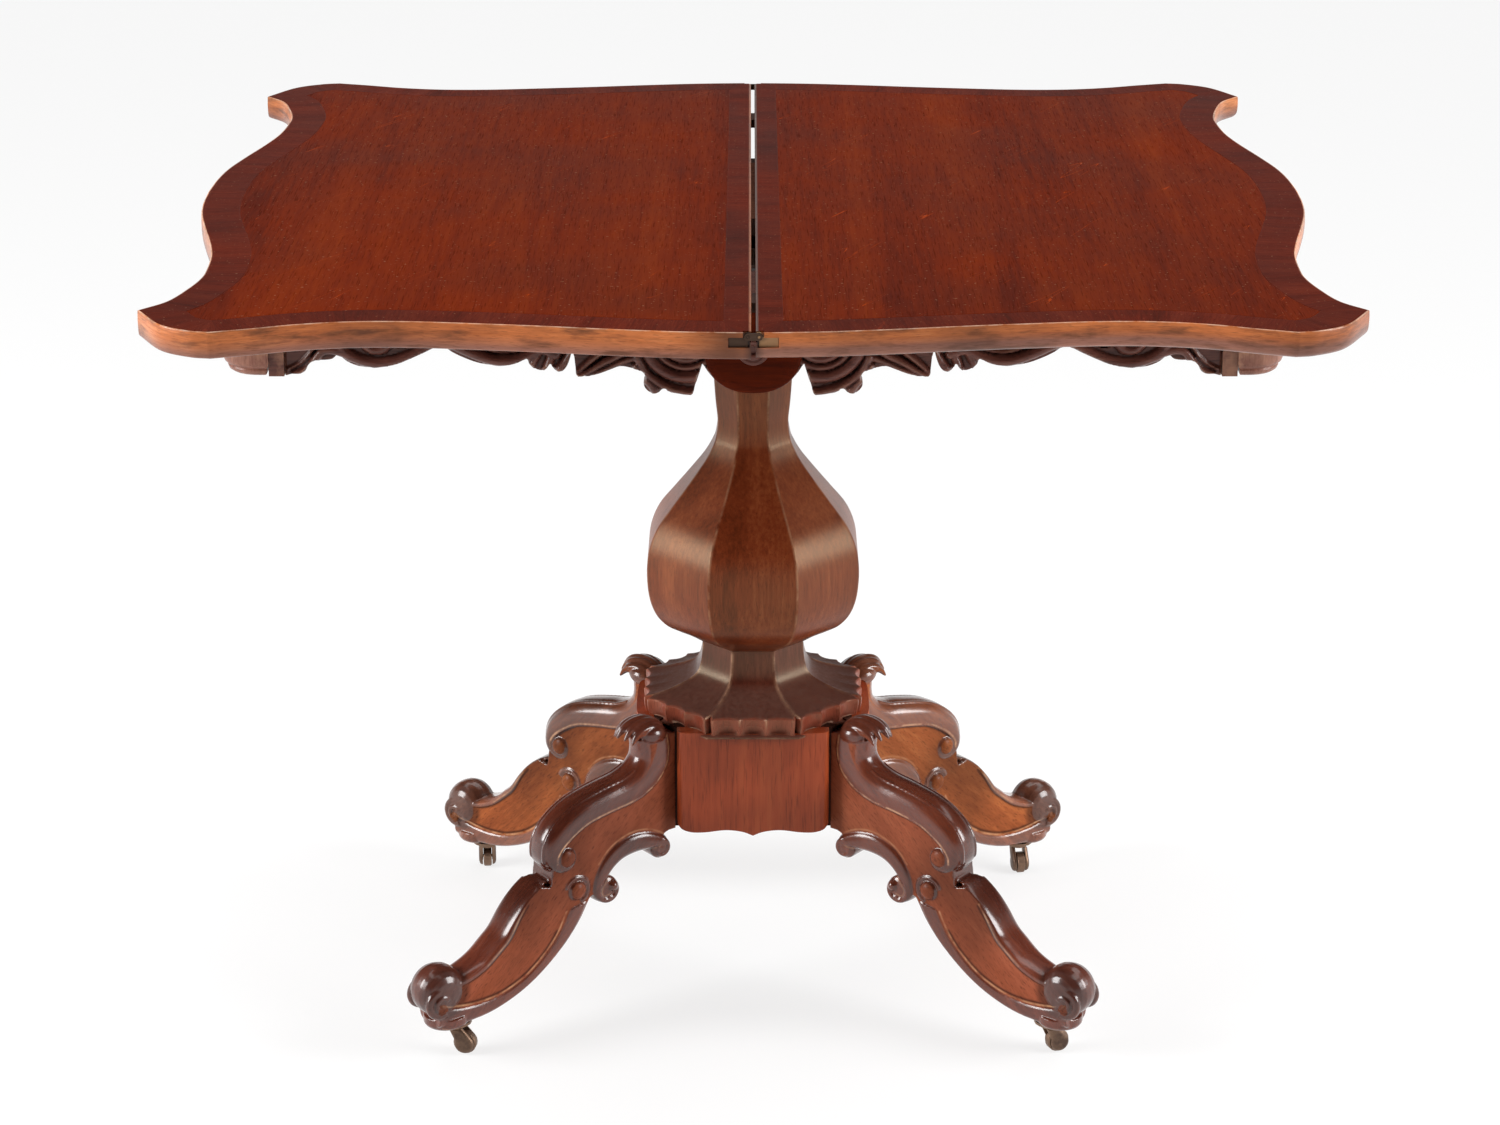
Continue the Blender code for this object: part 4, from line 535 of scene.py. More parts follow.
# The rear legs take a lighter, more orange copy of the front legs' wood: painted light.
REAR_LEG_LIT_LOOKS = leg_looks("rear_leg_lit_wood", ((0.11, 0.032, 0.015), (0.21, 0.066, 0.032), (0.33, 0.12, 0.058)),
                           ((0.18, 0.042, 0.011), (0.325, 0.088, 0.024), (0.44, 0.145, 0.044)))
INNER_WOOD = wood("inner_wood", ((0.05, 0.022, 0.012), (0.085, 0.04, 0.022), (0.13, 0.068, 0.038)),
                  ALONG_Y, rough=0.70, specular=0.3, bump=0.3)
CORE_WOOD = wood("hub_core_wood", ((0.02, 0.006, 0.004), (0.04, 0.012, 0.007), (0.07, 0.022, 0.012)),
                 ALONG_Z, rough=0.70, specular=0.1, bump=0.3)
BACK_WOOD = wood("back_wood", ((0.06, 0.02, 0.012), (0.12, 0.044, 0.026), (0.18, 0.072, 0.042)),
                 ALONG_X, rough=0.50, coat=0.05, bump=0.2)
BRASS = metal("old_brass", (0.07, 0.042, 0.032), (0.17, 0.105, 0.07))
BRIGHT_BRASS = metal("rubbed_brass", (0.12, 0.06, 0.03), (0.32, 0.18, 0.085), 0.60, 0.4)
DARK_BRASS = metal("dark_brass", (0.02, 0.011, 0.008), (0.06, 0.035, 0.024), 0.50)
IRON = metal("swivel_iron", (0.06, 0.052, 0.046), (0.16, 0.145, 0.13), 0.55)

# Leaf outline from the joint line outwards: shares of the leaf's depth and of half its width
FRONT_EDGE_SHARES = (
    (0, 1), (0.11, 0.994), (0.22, 0.979), (0.33, 0.96), (0.44, 0.944), (0.55, 0.931), (0.645, 0.932),
    (0.728, 0.949), (0.8, 0.976), (0.863, 0.997))
HORN_END_SHARES = ((0.863, 0.997), (0.9, 0.987), (0.951, 0.948), (0.9975, 0.859))
SIDE_EDGE_SHARES = (
    (0.9975, 0.859), (0.959, 0.803), (0.937, 0.725), (0.924, 0.65), (0.923, 0.582), (0.929, 0.489),
    (0.945, 0.395), (0.968, 0.289), (0.988, 0.185), (0.997, 0.095), (1, 0))
LEAF_STEPS = 8
LEAF_SWELL = 0.0004
ARRIS_ROUND = 0.001
CROSSBAND_WIDTH = 0.033
JOINT_BAND_WIDTH = 0.021
VENEER_INSET = 0.0012
JOINT_VENEER_INSET = 0.0019
VENEER_DEPTH = 0.0008
VENEER_GROOVE = 0.00015
CROSSBAND_STEP = 0.012
PLAY = 0.0003
PROUD = 0.002
KNUCKLE_SPAN = 0.0072
STAIN_PLACE = 0.018
STAIN_REACH = 0.042
STAIN_SHARE = 1.1


def leaf_outline(side):
    """One leaf's outline, anticlockwise from the joint line's end; its last side is the joint."""
    quarter = []
    for shares in (FRONT_EDGE_SHARES, HORN_END_SHARES, SIDE_EDGE_SHARES):
        places = [(JOINT_EDGE + out * (LEAF_DEPTH - JOINT_EDGE), wide * HALF_WIDTH) for out, wide in shares]
        quarter = quarter[:-1] + smooth_curve(places, LEAF_STEPS)
    right = [Vector((x, -y)) for x, y in quarter] + [Vector((x, y)) for x, y in reversed(quarter[:-1])]
    return right if side > 0 else [Vector((-point.x, point.y)) for point in reversed(right)]


def cut_prisms(item, prisms):
    """Cuts prisms, each an outline in X and Z with its two ends along Y, out of a piece."""
    turn_outwards(item.data, clean=True)
    shapes = [loft_shape([[(x, y, z) for x, z in outline] for y in ends]) for outline, ends in prisms]
    cutter = new_object(item.name + "_cutter", *merged(shapes), smooth=False)
    cutting = item.modifiers.new("cut", "BOOLEAN")
    cutting.operation, cutting.solver, cutting.object = "DIFFERENCE", "EXACT", cutter
    cutting.use_self = True
    mesh = applied(item)
    item.modifiers.remove(cutting)
    item.data = mesh
    bpy.data.objects.remove(cutter, do_unlink=True)


def hinge_beds(side, leaf):
    """The recesses of a leaf's two folding hinges, taken from the CAD plates' boxes."""
    beds = []
    for end, place in ((-1, "front"), (1, "back")):
        low, high, (near, far), (inner, _) = reaches("hinge_plate_" + leaf + "_" + place)
        floor, ceiling = high.z - KNUCKLE_SPAN, high.z - KNUCKLE_SPAN / 2
        outline = ((-PROUD, floor), (near + PROUD, floor), (near + PROUD, low.z - PLAY),
                   (far + PLAY, low.z - PLAY), (far + PLAY, ceiling), (near + KNUCKLE_SPAN, ceiling),
                   (near + KNUCKLE_SPAN, TABLE_HEIGHT + PROUD), (-PROUD, TABLE_HEIGHT + PROUD))
        beds.append(([(side * x, z) for x, z in outline], (end * (inner - PLAY), end * (HALF_WIDTH + PROUD))))
    return beds


def leaf_board(leaf, side, low_round):
    """A leaf's board with its rounded edge, and the recesses of its folding hinges."""
    outline = leaf_outline(side)
    rows = []
    # Each row: inset, joint inset, height, arris wear and border; the border marks the rounded underside for
    # the painted floor reflection.
    for count in range(6, -1, -1):
        angle = math.radians(90 * count / 6)
        rows.append((low_round * (1 - math.cos(angle)), 0, LEAF_UNDERSIDE + low_round * (1 - math.sin(angle)),
                     0.0, 1.0))
    for share in (0.12, 0.3, 0.6, 0.85):
        rows.append((-LEAF_SWELL * math.sin(math.pi * share), 0, LEAF_UNDERSIDE + low_round
                     + (LEAF_THICKNESS - low_round - 0.0016) * share, 0.0, 1.0 - min(1.0, share * 2)))
    for count, arris in enumerate((0.0, 0.3, 1.0, 1.0, 0.6)):
        angle = math.radians(90 * count / 4)
        rows.append((ARRIS_ROUND * (1 - math.cos(angle)), 0.0014 * (1 - math.cos(angle)),
                     TABLE_HEIGHT - 0.0012 + ARRIS_ROUND * math.sin(angle), arris, 0.0))
    rows.append((0.004, 0.004, TABLE_HEIGHT - 0.0005, 0.0, 0.0))
    rings, heights, arrises, borders = [], [], [], []
    for inset, joint_inset, height, arris, border in rows:
        inner = drawn_in(outline, inset, joint_inset, prune=True)
        rings.append(at_height(nearest_on(inner, outline), height))
        heights.append(rings[-1][0].z)
        arrises.append(arris)
        borders.append(border)
    item = lofted(leaf + "_leaf_board", rings, arc_lengths(outline + [outline[0]]), heights,
                  [("arris", arrises), ("border", borders)])
    cut_prisms(item, hinge_beds(side, leaf))
    # The joint faces are painted nearly black as a painted shade of the gap between the leaves; the lower
    # leaf's top arris is left out.
    joint_shade, stain = [], []
    for x, _, z in [vert.co for vert in item.data.vertices]:
        joint_shade.append(float(abs(x) < 3 * JOINT_EDGE and (side > 0 or z < TABLE_HEIGHT - 0.0013)))
        stain.append(STAIN_SHARE * (side < 0) * max(0.0, 1 - abs(abs(x) - STAIN_PLACE) / STAIN_REACH))
    mark(item, "joint_shade", joint_shade)
    mark(item, "stain", stain)
    shade(item.data, 40)
    dress(item, leaf + "_leaf", "leaf_edge_wood", [EDGE_WOOD], leaf + "_leaf")


def veneers(leaf, side):
    """The field veneer and the crossband of a leaf, on one shared line."""
    outline = leaf_outline(side)
    rim = drawn_in(outline, VENEER_INSET, JOINT_VENEER_INSET)
    spots = []
    for start, stop in zip(rim, rim[1:] + rim[:1]):
        steps = max(1, round((stop - start).length / CROSSBAND_STEP))
        spots += [start.lerp(stop, count / steps) for count in range(steps)]
    inside = nearest_on(drawn_in(outline, CROSSBAND_WIDTH, JOINT_BAND_WIDTH, prune=True), spots)
    rings, across = [], []
    for share, sunk, before in ((0.0, VENEER_DEPTH, 0.001), (0.0, 0.0002, 0.0), (0.03, 0.0, 0.0),
                                (0.35, 0.0, 0.0), (0.7, 0.0, 0.0), (0.985, 0.0, 0.0),
                                (1.0, VENEER_GROOVE, 0.0), (1.0, VENEER_DEPTH, 0.0)):
        ring = [outer.lerp(inward, share) for outer, inward in zip(spots, inside)]
        rings.append(at_height(ring, TABLE_HEIGHT - sunk))
        across.append(CROSSBAND_WIDTH * share - before)
    rings.append(rings[0])
    across.append(CROSSBAND_WIDTH)
    band = lofted(leaf + "_crossband_sheet", rings, arc_lengths(spots + [spots[0]]), across, caps=False,
                  sharp=10)
    cut_prisms(band, hinge_beds(side, leaf))
    dress(band, leaf + "_leaf", "crossband_veneer", [BAND_WOOD], leaf + "_crossband")
    edge = []
    for spot in inside:
        if not edge or (spot - edge[-1]).length > 1e-5:
            edge.append(spot)
    if (edge[0] - edge[-1]).length < 1e-5:
        edge.pop()
    rings = [at_height(edge, TABLE_HEIGHT - VENEER_DEPTH), at_height(edge, TABLE_HEIGHT - VENEER_GROOVE),
             at_height(drawn_in(edge, 0.0004), TABLE_HEIGHT)]
    sheet = lofted(leaf + "_field_sheet", rings, sharp=10)
    dress(sheet, leaf + "_leaf", "field_veneer", [FIELD_WOOD], leaf + "_field_veneer")


leaf_board("lower", -1, 0.003)
leaf_board("flap", 1, 0.008)
veneers("lower", -1)
veneers("flap", 1)

# Legs, drawn in their own plane in millimetres: outwards from the table's axis, and above the floor
ROLL_LIP = ((110, 258), (109, 242), (114, 226), (128, 212), (148, 204), (173, 200), (197, 195), (213, 187),
            (225, 178), (231, 170), (232, 163), (227, 157), (220, 155.5), (214, 159), (212.5, 166))
ROLL_HEIGHTS = (27, 27, 26, 24.5, 23, 22, 21, 20.5, 18, 13.5, 9.5, 6.5, 4.5, 3.5, 3)
ROLL_HALF_WIDTHS = (17, 18, 18.6, 18.8, 18.8, 18.8, 18.8, 18.8, 18.8, 18.6, 18.4, 18, 17.6, 17.2, 17)
CROWN_LIP = ((236, 145), (243, 146), (253, 142), (264, 132), (274, 119), (284, 104), (294, 95), (308, 84),
             (323, 77), (338, 73), (352, 72))
CROWN_HEIGHTS = (0.5, 0.6, 0.9, 2.2, 3.8, 5, 5.2, 5, 4.8, 4.6, 4.6)
CROWN_HALF_WIDTHS = (9, 12, 14.5, 16.2, 17, 17.2, 17.2, 17.1, 17, 16.8, 16.5)
BEAD_LINE = ((222, 113), (232, 95), (243, 82), (258, 69), (273, 60), (293, 53), (313, 51), (330, 52),
             (345, 55), (358, 60))
LOWER_EDGE = ((196, 118), (208, 98), (223, 81), (243, 64), (263, 51), (283, 42), (303, 36), (323, 33.5),
              (343, 33), (360, 36))
BRACKET_OUTER = ((107.5, 151), (110, 159), (121, 166), (134, 171), (149, 172), (164, 168), (176, 161),
                 (186, 150), (192, 138), (194, 125), (190, 115), (181, 110), (171, 112))
BRACKET_INNER = ((119, 152), (122, 151), (131, 149), (143, 149), (157, 147), (167, 142), (175, 135),
                 (181, 129), (184, 124), (184, 121), (182, 118), (179, 118), (176, 119))
WEB_UNDER = ((190, 122), (184, 140), (174, 154), (160, 162), (140, 164), (120, 160), (108, 163))
CREST_LINE = ((106, 255), (112, 264), (122, 269.5), (134, 271), (147, 268), (156, 260))
BUTTON = (210, 131)
KNUCKLE_EYE = (221, 165.5)
INNER_VOLUTE = (117.5, 148)
OUTER_VOLUTE = (177, 123)
OUTER_VOLUTE_EYE = (172, 126)
FOOT_BALL = (351, 68)
FOOT_RING = (357, 61)
BEAD_TIP = (357.5, 56)
TOE_PAD = 342.5
LEG_STEPS = 5
ROLL_SIDES = 26
LIP_DEPTH = 0.002
LEG_VOXEL = 0.0009
# Bosses on both faces, in metres: centre, radius, height of the top and of the foot over the middle
LEG_DOMES = ((BEAD_TIP, 0.007, 0.0212, 0.012), (BUTTON, 0.0092, 0.0215, 0.015),
             (KNUCKLE_EYE, 0.0095, 0.021, 0.015), (INNER_VOLUTE, 0.01, 0.019, 0.014),
             (OUTER_VOLUTE, 0.0125, 0.0185, 0.014), (OUTER_VOLUTE_EYE, 0.006, 0.0225, 0.014))
# Threads: centre, radius at the start and the end, the two angles, thickness, taper, distance off the middle
LEG_THREADS = ((INNER_VOLUTE, 0.0085, 0.0035, 100, 420, 0.0026, 0.7, LEG_HALF + 0.0012),
               (OUTER_VOLUTE, 0.0112, 0.009, 40, -230, 0.0028, 0.8, LEG_HALF + 0.0012),
               (BUTTON, 0.0122, 0.0122, 20, 250, 0.0017, 1.0, LEG_HALF),
               (FOOT_RING, 0.0118, 0.0118, 195, -110, 0.0038, 1.0, 0.0158),
               (FOOT_RING, 0.0062, 0.0062, 150, -130, 0.0024, 1.0, 0.019))
# The foot scroll's turning: radius and distance off the middle
FOOT_PROFILE = ((0, 0.02), (0.006, 0.0198), (0.012, 0.0184), (0.017, 0.0158), (0.0208, 0.0118),
                (0.023, 0.0062), (0.0236, 0))


def leg_curve(points, steps=LEG_STEPS):
    """A smooth curve in the leg's plane."""
    return smooth_curve([metres(point) for point in points], steps)


def leg_sizes(values):
    """Sizes that run smoothly between the given ones, one for each point of the leg's curve."""
    return [metres(point.x) for point in smooth_curve([(value, 0.0) for value in values], LEG_STEPS)]


def rounded(power, angles):
    """Points at the given angles of a section between an ellipse and a square."""
    return [tuple(math.copysign(abs(part) ** power, part) for part in (math.cos(angle), math.sin(angle)))
            for angle in angles]


def roll(path, half_widths, heights, power):
    """Rings of a rounded roll that stands on a curve of the leg's plane."""
    arch = rounded(power, [math.pi * side / ROLL_SIDES for side in range(ROLL_SIDES + 1)])
    rings = []
    for index, (point, wide, high) in enumerate(zip(path, leg_sizes(half_widths), leg_sizes(heights))):
        along = heading(path, index)
        above = Vector((-along.y, along.x))
        section = [(wide * across, high * up) for across, up in arch]
        section += [(-wide * 0.97, -LIP_DEPTH), (wide * 0.97, -LIP_DEPTH)]
        rings.append([in_plane(point + above * up, across) for across, up in section])
    return rings


def tube(points, radii, sides=10):
    """A closed tube along points in space."""
    rings = []
    for index, (point, radius) in enumerate(zip(points, radii)):
        along = heading(points, index)
        first = along.cross(Vector((0, 1, 0)))
        first = first.normalized() if first.length > 1e-3 else Vector((1, 0, 0))
        second = along.cross(first)
        rings.append([point + (first * math.cos(2 * math.pi * side / sides)
                               + second * math.sin(2 * math.pi * side / sides)) * radius
                      for side in range(sides)])
    return loft_shape(rings)


def band_between(upper, lower, half_width, power, count=60, sides=28):
    """A rounded band that fills the space between two curves of the leg's plane."""
    section = rounded(power, [2 * math.pi * side / sides for side in range(sides)])
    rings = []
    for high, low in zip(resampled(leg_curve(upper), count), resampled(leg_curve(lower), count)):
        middle, reach = (high + low) / 2, (high - low) / 2
        rings.append([in_plane(middle + reach * up, half_width * across) for across, up in section])
    return loft_shape(rings)


def turned_shape(profile, centre, sides=48):
    """A solid of revolution across the leg; the profile gives radius and across, and is mirrored."""
    profile = [(radius, -across) for radius, across in profile] + list(reversed(profile))
    spokes = [direction(2 * math.pi * side / sides) for side in range(sides)]
    return loft_shape([[in_plane(metres(centre) + spoke * max(radius, 1e-4), across) for spoke in spokes]
                       for radius, across in profile])


def dome(centre, radius, top, foot):
    """A low rounded boss on both faces of the leg."""
    angles = [math.radians(90 * count / 5) for count in range(1, 6)]
    return turned_shape([(0.0, top)] + [(radius * math.sin(angle), foot + (top - foot) * math.cos(angle))
                                        for angle in angles], centre)


def thread(face, centre, radius, end_radius, start, stop, thickness, taper, off):
    """A round thread along an arc on a face of the leg, in degrees; it can wind in and grow thin."""
    steps = max(10, int(abs(stop - start) / 8))
    points, radii = [], []
    for share in [index / steps for index in range(steps + 1)]:
        spoke = direction(math.radians(start + (stop - start) * share))
        points.append(in_plane(metres(centre) + spoke * (radius + (end_radius - radius) * share), face * off))
        radii.append(thickness * (1 + (taper - 1) * share))
    return tube(points, radii)


def crest_shapes():
    """A shell of five curled fingers over the roll's head, with a rounded lobe at each side."""
    shapes = []
    root = metres(CREST_LINE[0][0])
    for finger in range(-2, 3):
        path = leg_curve(CREST_LINE, 4)
        length = 0.95 * (1 - 0.07 * abs(finger))
        spots, radii = [], []
        for index, point in enumerate(path):
            share = index / (len(path) - 1)
            spots.append(Vector((root + (point.x - root) * length, finger * (0.0036 + 0.0034 * share),
                                 point.y - 0.0011 * finger * finger)))
            radii.append(0.0042 + 0.0014 * math.sin(math.pi * min(1.0, 1.2 * share))
                         - 0.0032 * max(0.0, (share - 0.72) / 0.28) ** 1.5)
        shapes.append(tube(spots, radii, 12))
    for face in (-1, 1):
        shares = [count / 12 for count in range(13)]
        shapes.append(tube([Vector((metres(108 + 28 * share), face * metres(12.5), metres(259 + 3 * share)))
                            for share in shares],
                           [metres(0.6 + 7.6 * math.sin(math.pi * share) ** 0.6) for share in shares], 14))
    return shapes


def leg_shapes():
    """Everything that the leg is fused from."""
    lip, crown_lip = leg_curve(ROLL_LIP), leg_curve(CROWN_LIP)
    rings = roll(lip, ROLL_HALF_WIDTHS, ROLL_HEIGHTS, 0.78)
    crown = roll(crown_lip, CROWN_HALF_WIDTHS, CROWN_HEIGHTS, 0.72)
    seat = HUB_REACH - 0.003
    web = [Vector((seat, metres(258)))] + [point + Vector((0.002, 0.003)) for point in lip[:48]]
    web += [metres((238, 141))] + crown_lip[8:] + [metres((358, 60)), metres((352, 36))]
    web += [point + Vector((0.0, 0.002)) for point in reversed(leg_curve(LOWER_EDGE)[:-6])]
    web += leg_curve(WEB_UNDER) + [Vector((seat, metres(163.4)))]
    shapes = [loft_shape([[in_plane(point, across) for point in web] for across in (-LEG_HALF, LEG_HALF)]),
              loft_shape(rings), loft_shape(crown),
              band_between(BEAD_LINE, LOWER_EDGE, LEG_HALF + 0.0016, 0.5),
              band_between(BRACKET_OUTER, BRACKET_INNER, LEG_HALF + 0.0032, 0.62),
              turned_shape(FOOT_PROFILE, FOOT_BALL)]
    shapes += [dome(*row) for row in LEG_DOMES]
    ridge = rings[16:50]
    for face, column in ((-1, 17), (1, 9)):
        shapes.append(tube([ring[column] for ring in ridge], [0.0013] * len(ridge), 8))
        shapes += [thread(face, *row) for row in LEG_THREADS]
    pad = [(0.0185, CASTER_HEIGHT), (0.0205, CASTER_HEIGHT + 0.003), (0.0205, CASTER_HEIGHT + 0.010)]
    shapes.append(loft_shape([[Vector((metres(TOE_PAD) + radius * math.cos(math.pi * count / 16),
                                       radius * math.sin(math.pi * count / 16), height))
                               for count in range(32)] for radius, height in pad]))
    return shapes + crest_shapes()


def near_curve(points, curve, width):
    """How close points of the leg's plane lie to a curve: 1 on it, 0 at the width and beyond."""
    line = np.array([tuple(point) for point in curve])
    best = np.full(len(points), 1e9)
    for start, stop in zip(line, line[1:]):
        along = stop - start
        share = unit(((points - start) @ along) / (along @ along))
        best = np.minimum(best, np.linalg.norm(points - start - share[:, None] * along, axis=1))
    return unit(1 - best / width)


# Where the leg is worn, and where painted shade lies beside its lines: a curve with its strength or its shift
WORN_LINES = ((ROLL_LIP[:11], 1.0), (BEAD_LINE, 0.9), (CROWN_LIP[3:8], 0.6), (BRACKET_INNER, 0.4),
              (BRACKET_OUTER[1:8], 0.5), (LOWER_EDGE, 0.5))
SHADE_LINES = ((ROLL_LIP[2:11], (-0.0010, -0.0024)), (CROWN_LIP[3:], (-0.0012, -0.0020)),
               (BEAD_LINE[1:], (0.0005, 0.0020)))


def leg_skin():
    """The leg's fused skin, trimmed to its seat and its castor, with its faces and its lines marked."""
    item = fused("leg_carved", leg_shapes(), LEG_VOXEL)
    points = np.empty(len(item.data.vertices) * 3)
    item.data.vertices.foreach_get("co", points)
    points = points.reshape(-1, 3)
    points[:, 0] = np.maximum(points[:, 0], HUB_REACH)
    points[:, 2] = np.maximum(points[:, 2], CASTER_HEIGHT)
    item.data.vertices.foreach_set("co", points.ravel())
    item.data.update()
    spots, off = points[:, [0, 2]], np.abs(points[:, 1])

    def away(centre):
        """Distances in the leg's plane from a point."""
        return np.hypot(*(spots - np.array(centre) * MILLIMETRE).T)

    normals = np.array([vert.normal for vert in item.data.vertices])
    flat = unit((np.abs(normals[:, 1]) - 0.85) / 0.12) * unit((LEG_HALF + 0.0009 - off) / 0.0006)
    for centre, radius in ((BUTTON, 0.008), (KNUCKLE_EYE, 0.008), (BEAD_TIP, 0.0055)):
        flat = np.maximum(flat, unit((radius - away(centre)) / 0.0008) * (off > 0.0175))
    mark(item, "flat", flat)
    flank = unit((off - 0.0145) / 0.001)
    worn = [near_curve(spots, leg_curve(line), 0.0013) * strength for line, strength in WORN_LINES]
    mark(item, "worn", np.maximum.reduce(worn) * flank)
    painted_shade = [near_curve(spots, [point + Vector(shift) for point in leg_curve(line)], 0.0022)
             for line, shift in SHADE_LINES]
    painted_shade = np.maximum.reduce(painted_shade) * flank * unit((LEG_HALF + 0.0014 - off) / 0.0006)
    # Painted shade: the foot's ball, and the crest and head under the table's top, are darkened.
    shaded = np.maximum(unit((0.027 - away(FOOT_BALL)) / 0.006) * 0.75,
                        unit((points[:, 2] - 0.254) / 0.006) * 0.4)
    mark(item, "painted_shade", np.maximum(shaded, painted_shade))
    for face in item.data.polygons:
        face.material_index = int(flat[list(face.vertices)].mean() > 0.5)
    return item


leg_pattern = leg_skin()
for name, (side, end) in LEGS.items():
    leg = placed("leg_carving_" + name, leg_pattern.data.copy())
    leg.rotation_euler.z = math.atan2(end * math.sin(LEG_AZIMUTH), side * math.cos(LEG_AZIMUTH))
    dress(leg, "stand", "leg_wood", FRONT_LEG_LOOKS if end < 0 else REAR_LEG_LIT_LOOKS, "leg_" + name)
bpy.data.objects.remove(leg_pattern, do_unlink=True)

# Pillar: level as a share of its height, and half its width as a share of the belly's
PILLAR_BELLY_APOTHEM = 0.0959
PILLAR_SHARES = (
    (0, 0.485), (0.018, 0.58), (0.037, 0.7), (0.058, 0.815), (0.088, 0.905), (0.125, 0.962), (0.17, 0.993),
    (0.23, 1), (0.285, 0.972), (0.34, 0.89), (0.395, 0.745), (0.452, 0.59), (0.505, 0.453), (0.543, 0.38),
    (0.568, 0.349), (0.613, 0.331), (0.675, 0.351), (0.801, 0.386), (0.918, 0.448), (1, 0.5))
PILLAR_CHAMFER = 0.0006


def eight_sides():
    """The outward and the sideways direction of each side of an octagon."""
    outs = [direction(math.pi / 4 * side - math.pi / 2) for side in range(8)]
    return [(out, Vector((-out.y, out.x))) for out in outs]


def eight_sided(apothem, height):
    """A ring of eight flat sides with narrow worn corners, and how worn each of its points is."""
    ring, worn = [], []
    half = apothem * math.tan(math.pi / 8)
    for out, aside in eight_sides():
        for along in (-half + PILLAR_CHAMFER, -half + 3 * PILLAR_CHAMFER, 0.0, half - 3 * PILLAR_CHAMFER,
                      half - PILLAR_CHAMFER):
            ring.append(out * apothem + aside * along)
        ring.append((out * apothem + aside * half) * (1 - PILLAR_CHAMFER * 0.55 / apothem))
        worn += [0.8, 0.0, 0.0, 0.0, 0.8, 1.0]
    return at_height(ring, height), worn


def pillar():
    """The eight-sided baluster."""
    rings, worn = [], []
    for level, share in smooth_curve(PILLAR_SHARES, 5):
        height = PILLAR_BOTTOM + level * (PILLAR_TOP - PILLAR_BOTTOM)
        ring, marks = eight_sided(share * PILLAR_BELLY_APOTHEM, height)
        rings.append(ring)
        worn += marks
    item = lofted("pillar_baluster", rings, marks=[("arris", worn)])
    dress(item, "stand", "pillar_wood", [PILLAR_WOOD], "pillar")


pillar()

# Skirt: height above the rim as a share, and the flare from neck to rim as a share
SKIRT_NECK_APOTHEM = 0.0459
SKIRT_RIM_APOTHEM = 0.101
SKIRT_RIM_HEIGHT = 0.015
SKIRT_FLARE_SHARES = (
    (0, 1), (0.05, 0.74), (0.105, 0.54), (0.162, 0.397), (0.25, 0.23), (0.358, 0.113), (0.5, 0.052),
    (0.7, 0.018), (1, 0))
# Its rim from below: inset, height over the bottom, depth of the flutes, wear
SKIRT_RIM = (
    (0.0016, -0.004, 0.0, 0.0), (0.0002, -0.0036, 0.0, 0.0), (0.0002, -0.002, 0.0, 0.0),
    (0.002, -0.0012, 0.6, 0.0), (0.0016, 0.0004, 1.0, 0.1), (0.0004, 0.006, 1.0, 0.3),
    (0.0, 0.0105, 1.0, 0.6), (0.0, 0.0136, 1.0, 0.9), (0.001, 0.0148, 1.0, 0.6))
SKIRT_SQUASH = 0.06
SKIRT_MARGIN = 0.05
FLUTES = 3
RIM_POINTS = 48


def rim_cut(place):
    """How far the rim is cut in at a place along one of its sides, in flutes between four ribs."""
    fluted = max(0.0, min(1.0, (place - SKIRT_MARGIN) / 0.90))
    notch = max(0.0, 1 - min(place, 1 - place) / SKIRT_MARGIN)
    return 0.0080 * notch ** 0.8 + 0.0048 * abs(math.sin(math.pi * FLUTES * fluted)) ** 0.7


def skirt_ring(apothem, depth, squash, height, crease, wear):
    """A ring of the skirt, shorter from front to back and creased at its corners, and its worn points."""
    ring, worn = [], []
    half = apothem * math.tan(math.pi / 8)
    for out, aside in eight_sides():
        for place in [count / RIM_POINTS for count in range(RIM_POINTS)]:
            point = out * apothem + aside * (2 * place - 1) * half
            point = point * (1 - depth * rim_cut(place) / point.length)
            near = max(0.0, 1 - min(place, 1 - place) / 0.06)
            ring.append(Vector((point.x, point.y * (1 - squash), height + crease * near)))
            rib = abs(((place - SKIRT_MARGIN) / 0.90 * FLUTES + 0.5) % 1 - 0.5)
            worn.append(max(wear * max(0.0, 1 - rib / 0.05), 0.7 * near * (crease > 0)))
    return ring, worn


def pillar_skirt():
    """The flared collar with its fluted rim and the thin plate under it."""
    flare = SKIRT_RIM_APOTHEM - SKIRT_NECK_APOTHEM
    rise = SKIRT_TOP - SKIRT_BOTTOM - SKIRT_RIM_HEIGHT
    rows = [(SKIRT_RIM_APOTHEM - inset, depth, SKIRT_SQUASH, SKIRT_BOTTOM + height, 0.0, wear)
            for inset, height, depth, wear in SKIRT_RIM]
    for level, share in smooth_curve(SKIRT_FLARE_SHARES, 4)[1:]:
        depth = max(0.0, min(1.0, (share - 0.45) / 0.5)) ** 1.3
        rows.append((SKIRT_NECK_APOTHEM + share * flare, depth, share * SKIRT_SQUASH,
                     SKIRT_BOTTOM + SKIRT_RIM_HEIGHT + level * rise, 0.0011 * min(1.0, share * 4), 0.0))
    rings, worn = [], []
    for row in rows:
        ring, marks = skirt_ring(*row)
        rings.append(ring)
        worn += marks
    border = [float(3 <= index <= 8) for index in range(len(rings))]
    item = lofted("pillar_skirt_carved", rings, marks=[("worn", worn), ("border", border)], sharp=32)
    dress(item, "stand", "pillar_wood", [SKIRT_WOOD], "pillar_skirt")


pillar_skirt()

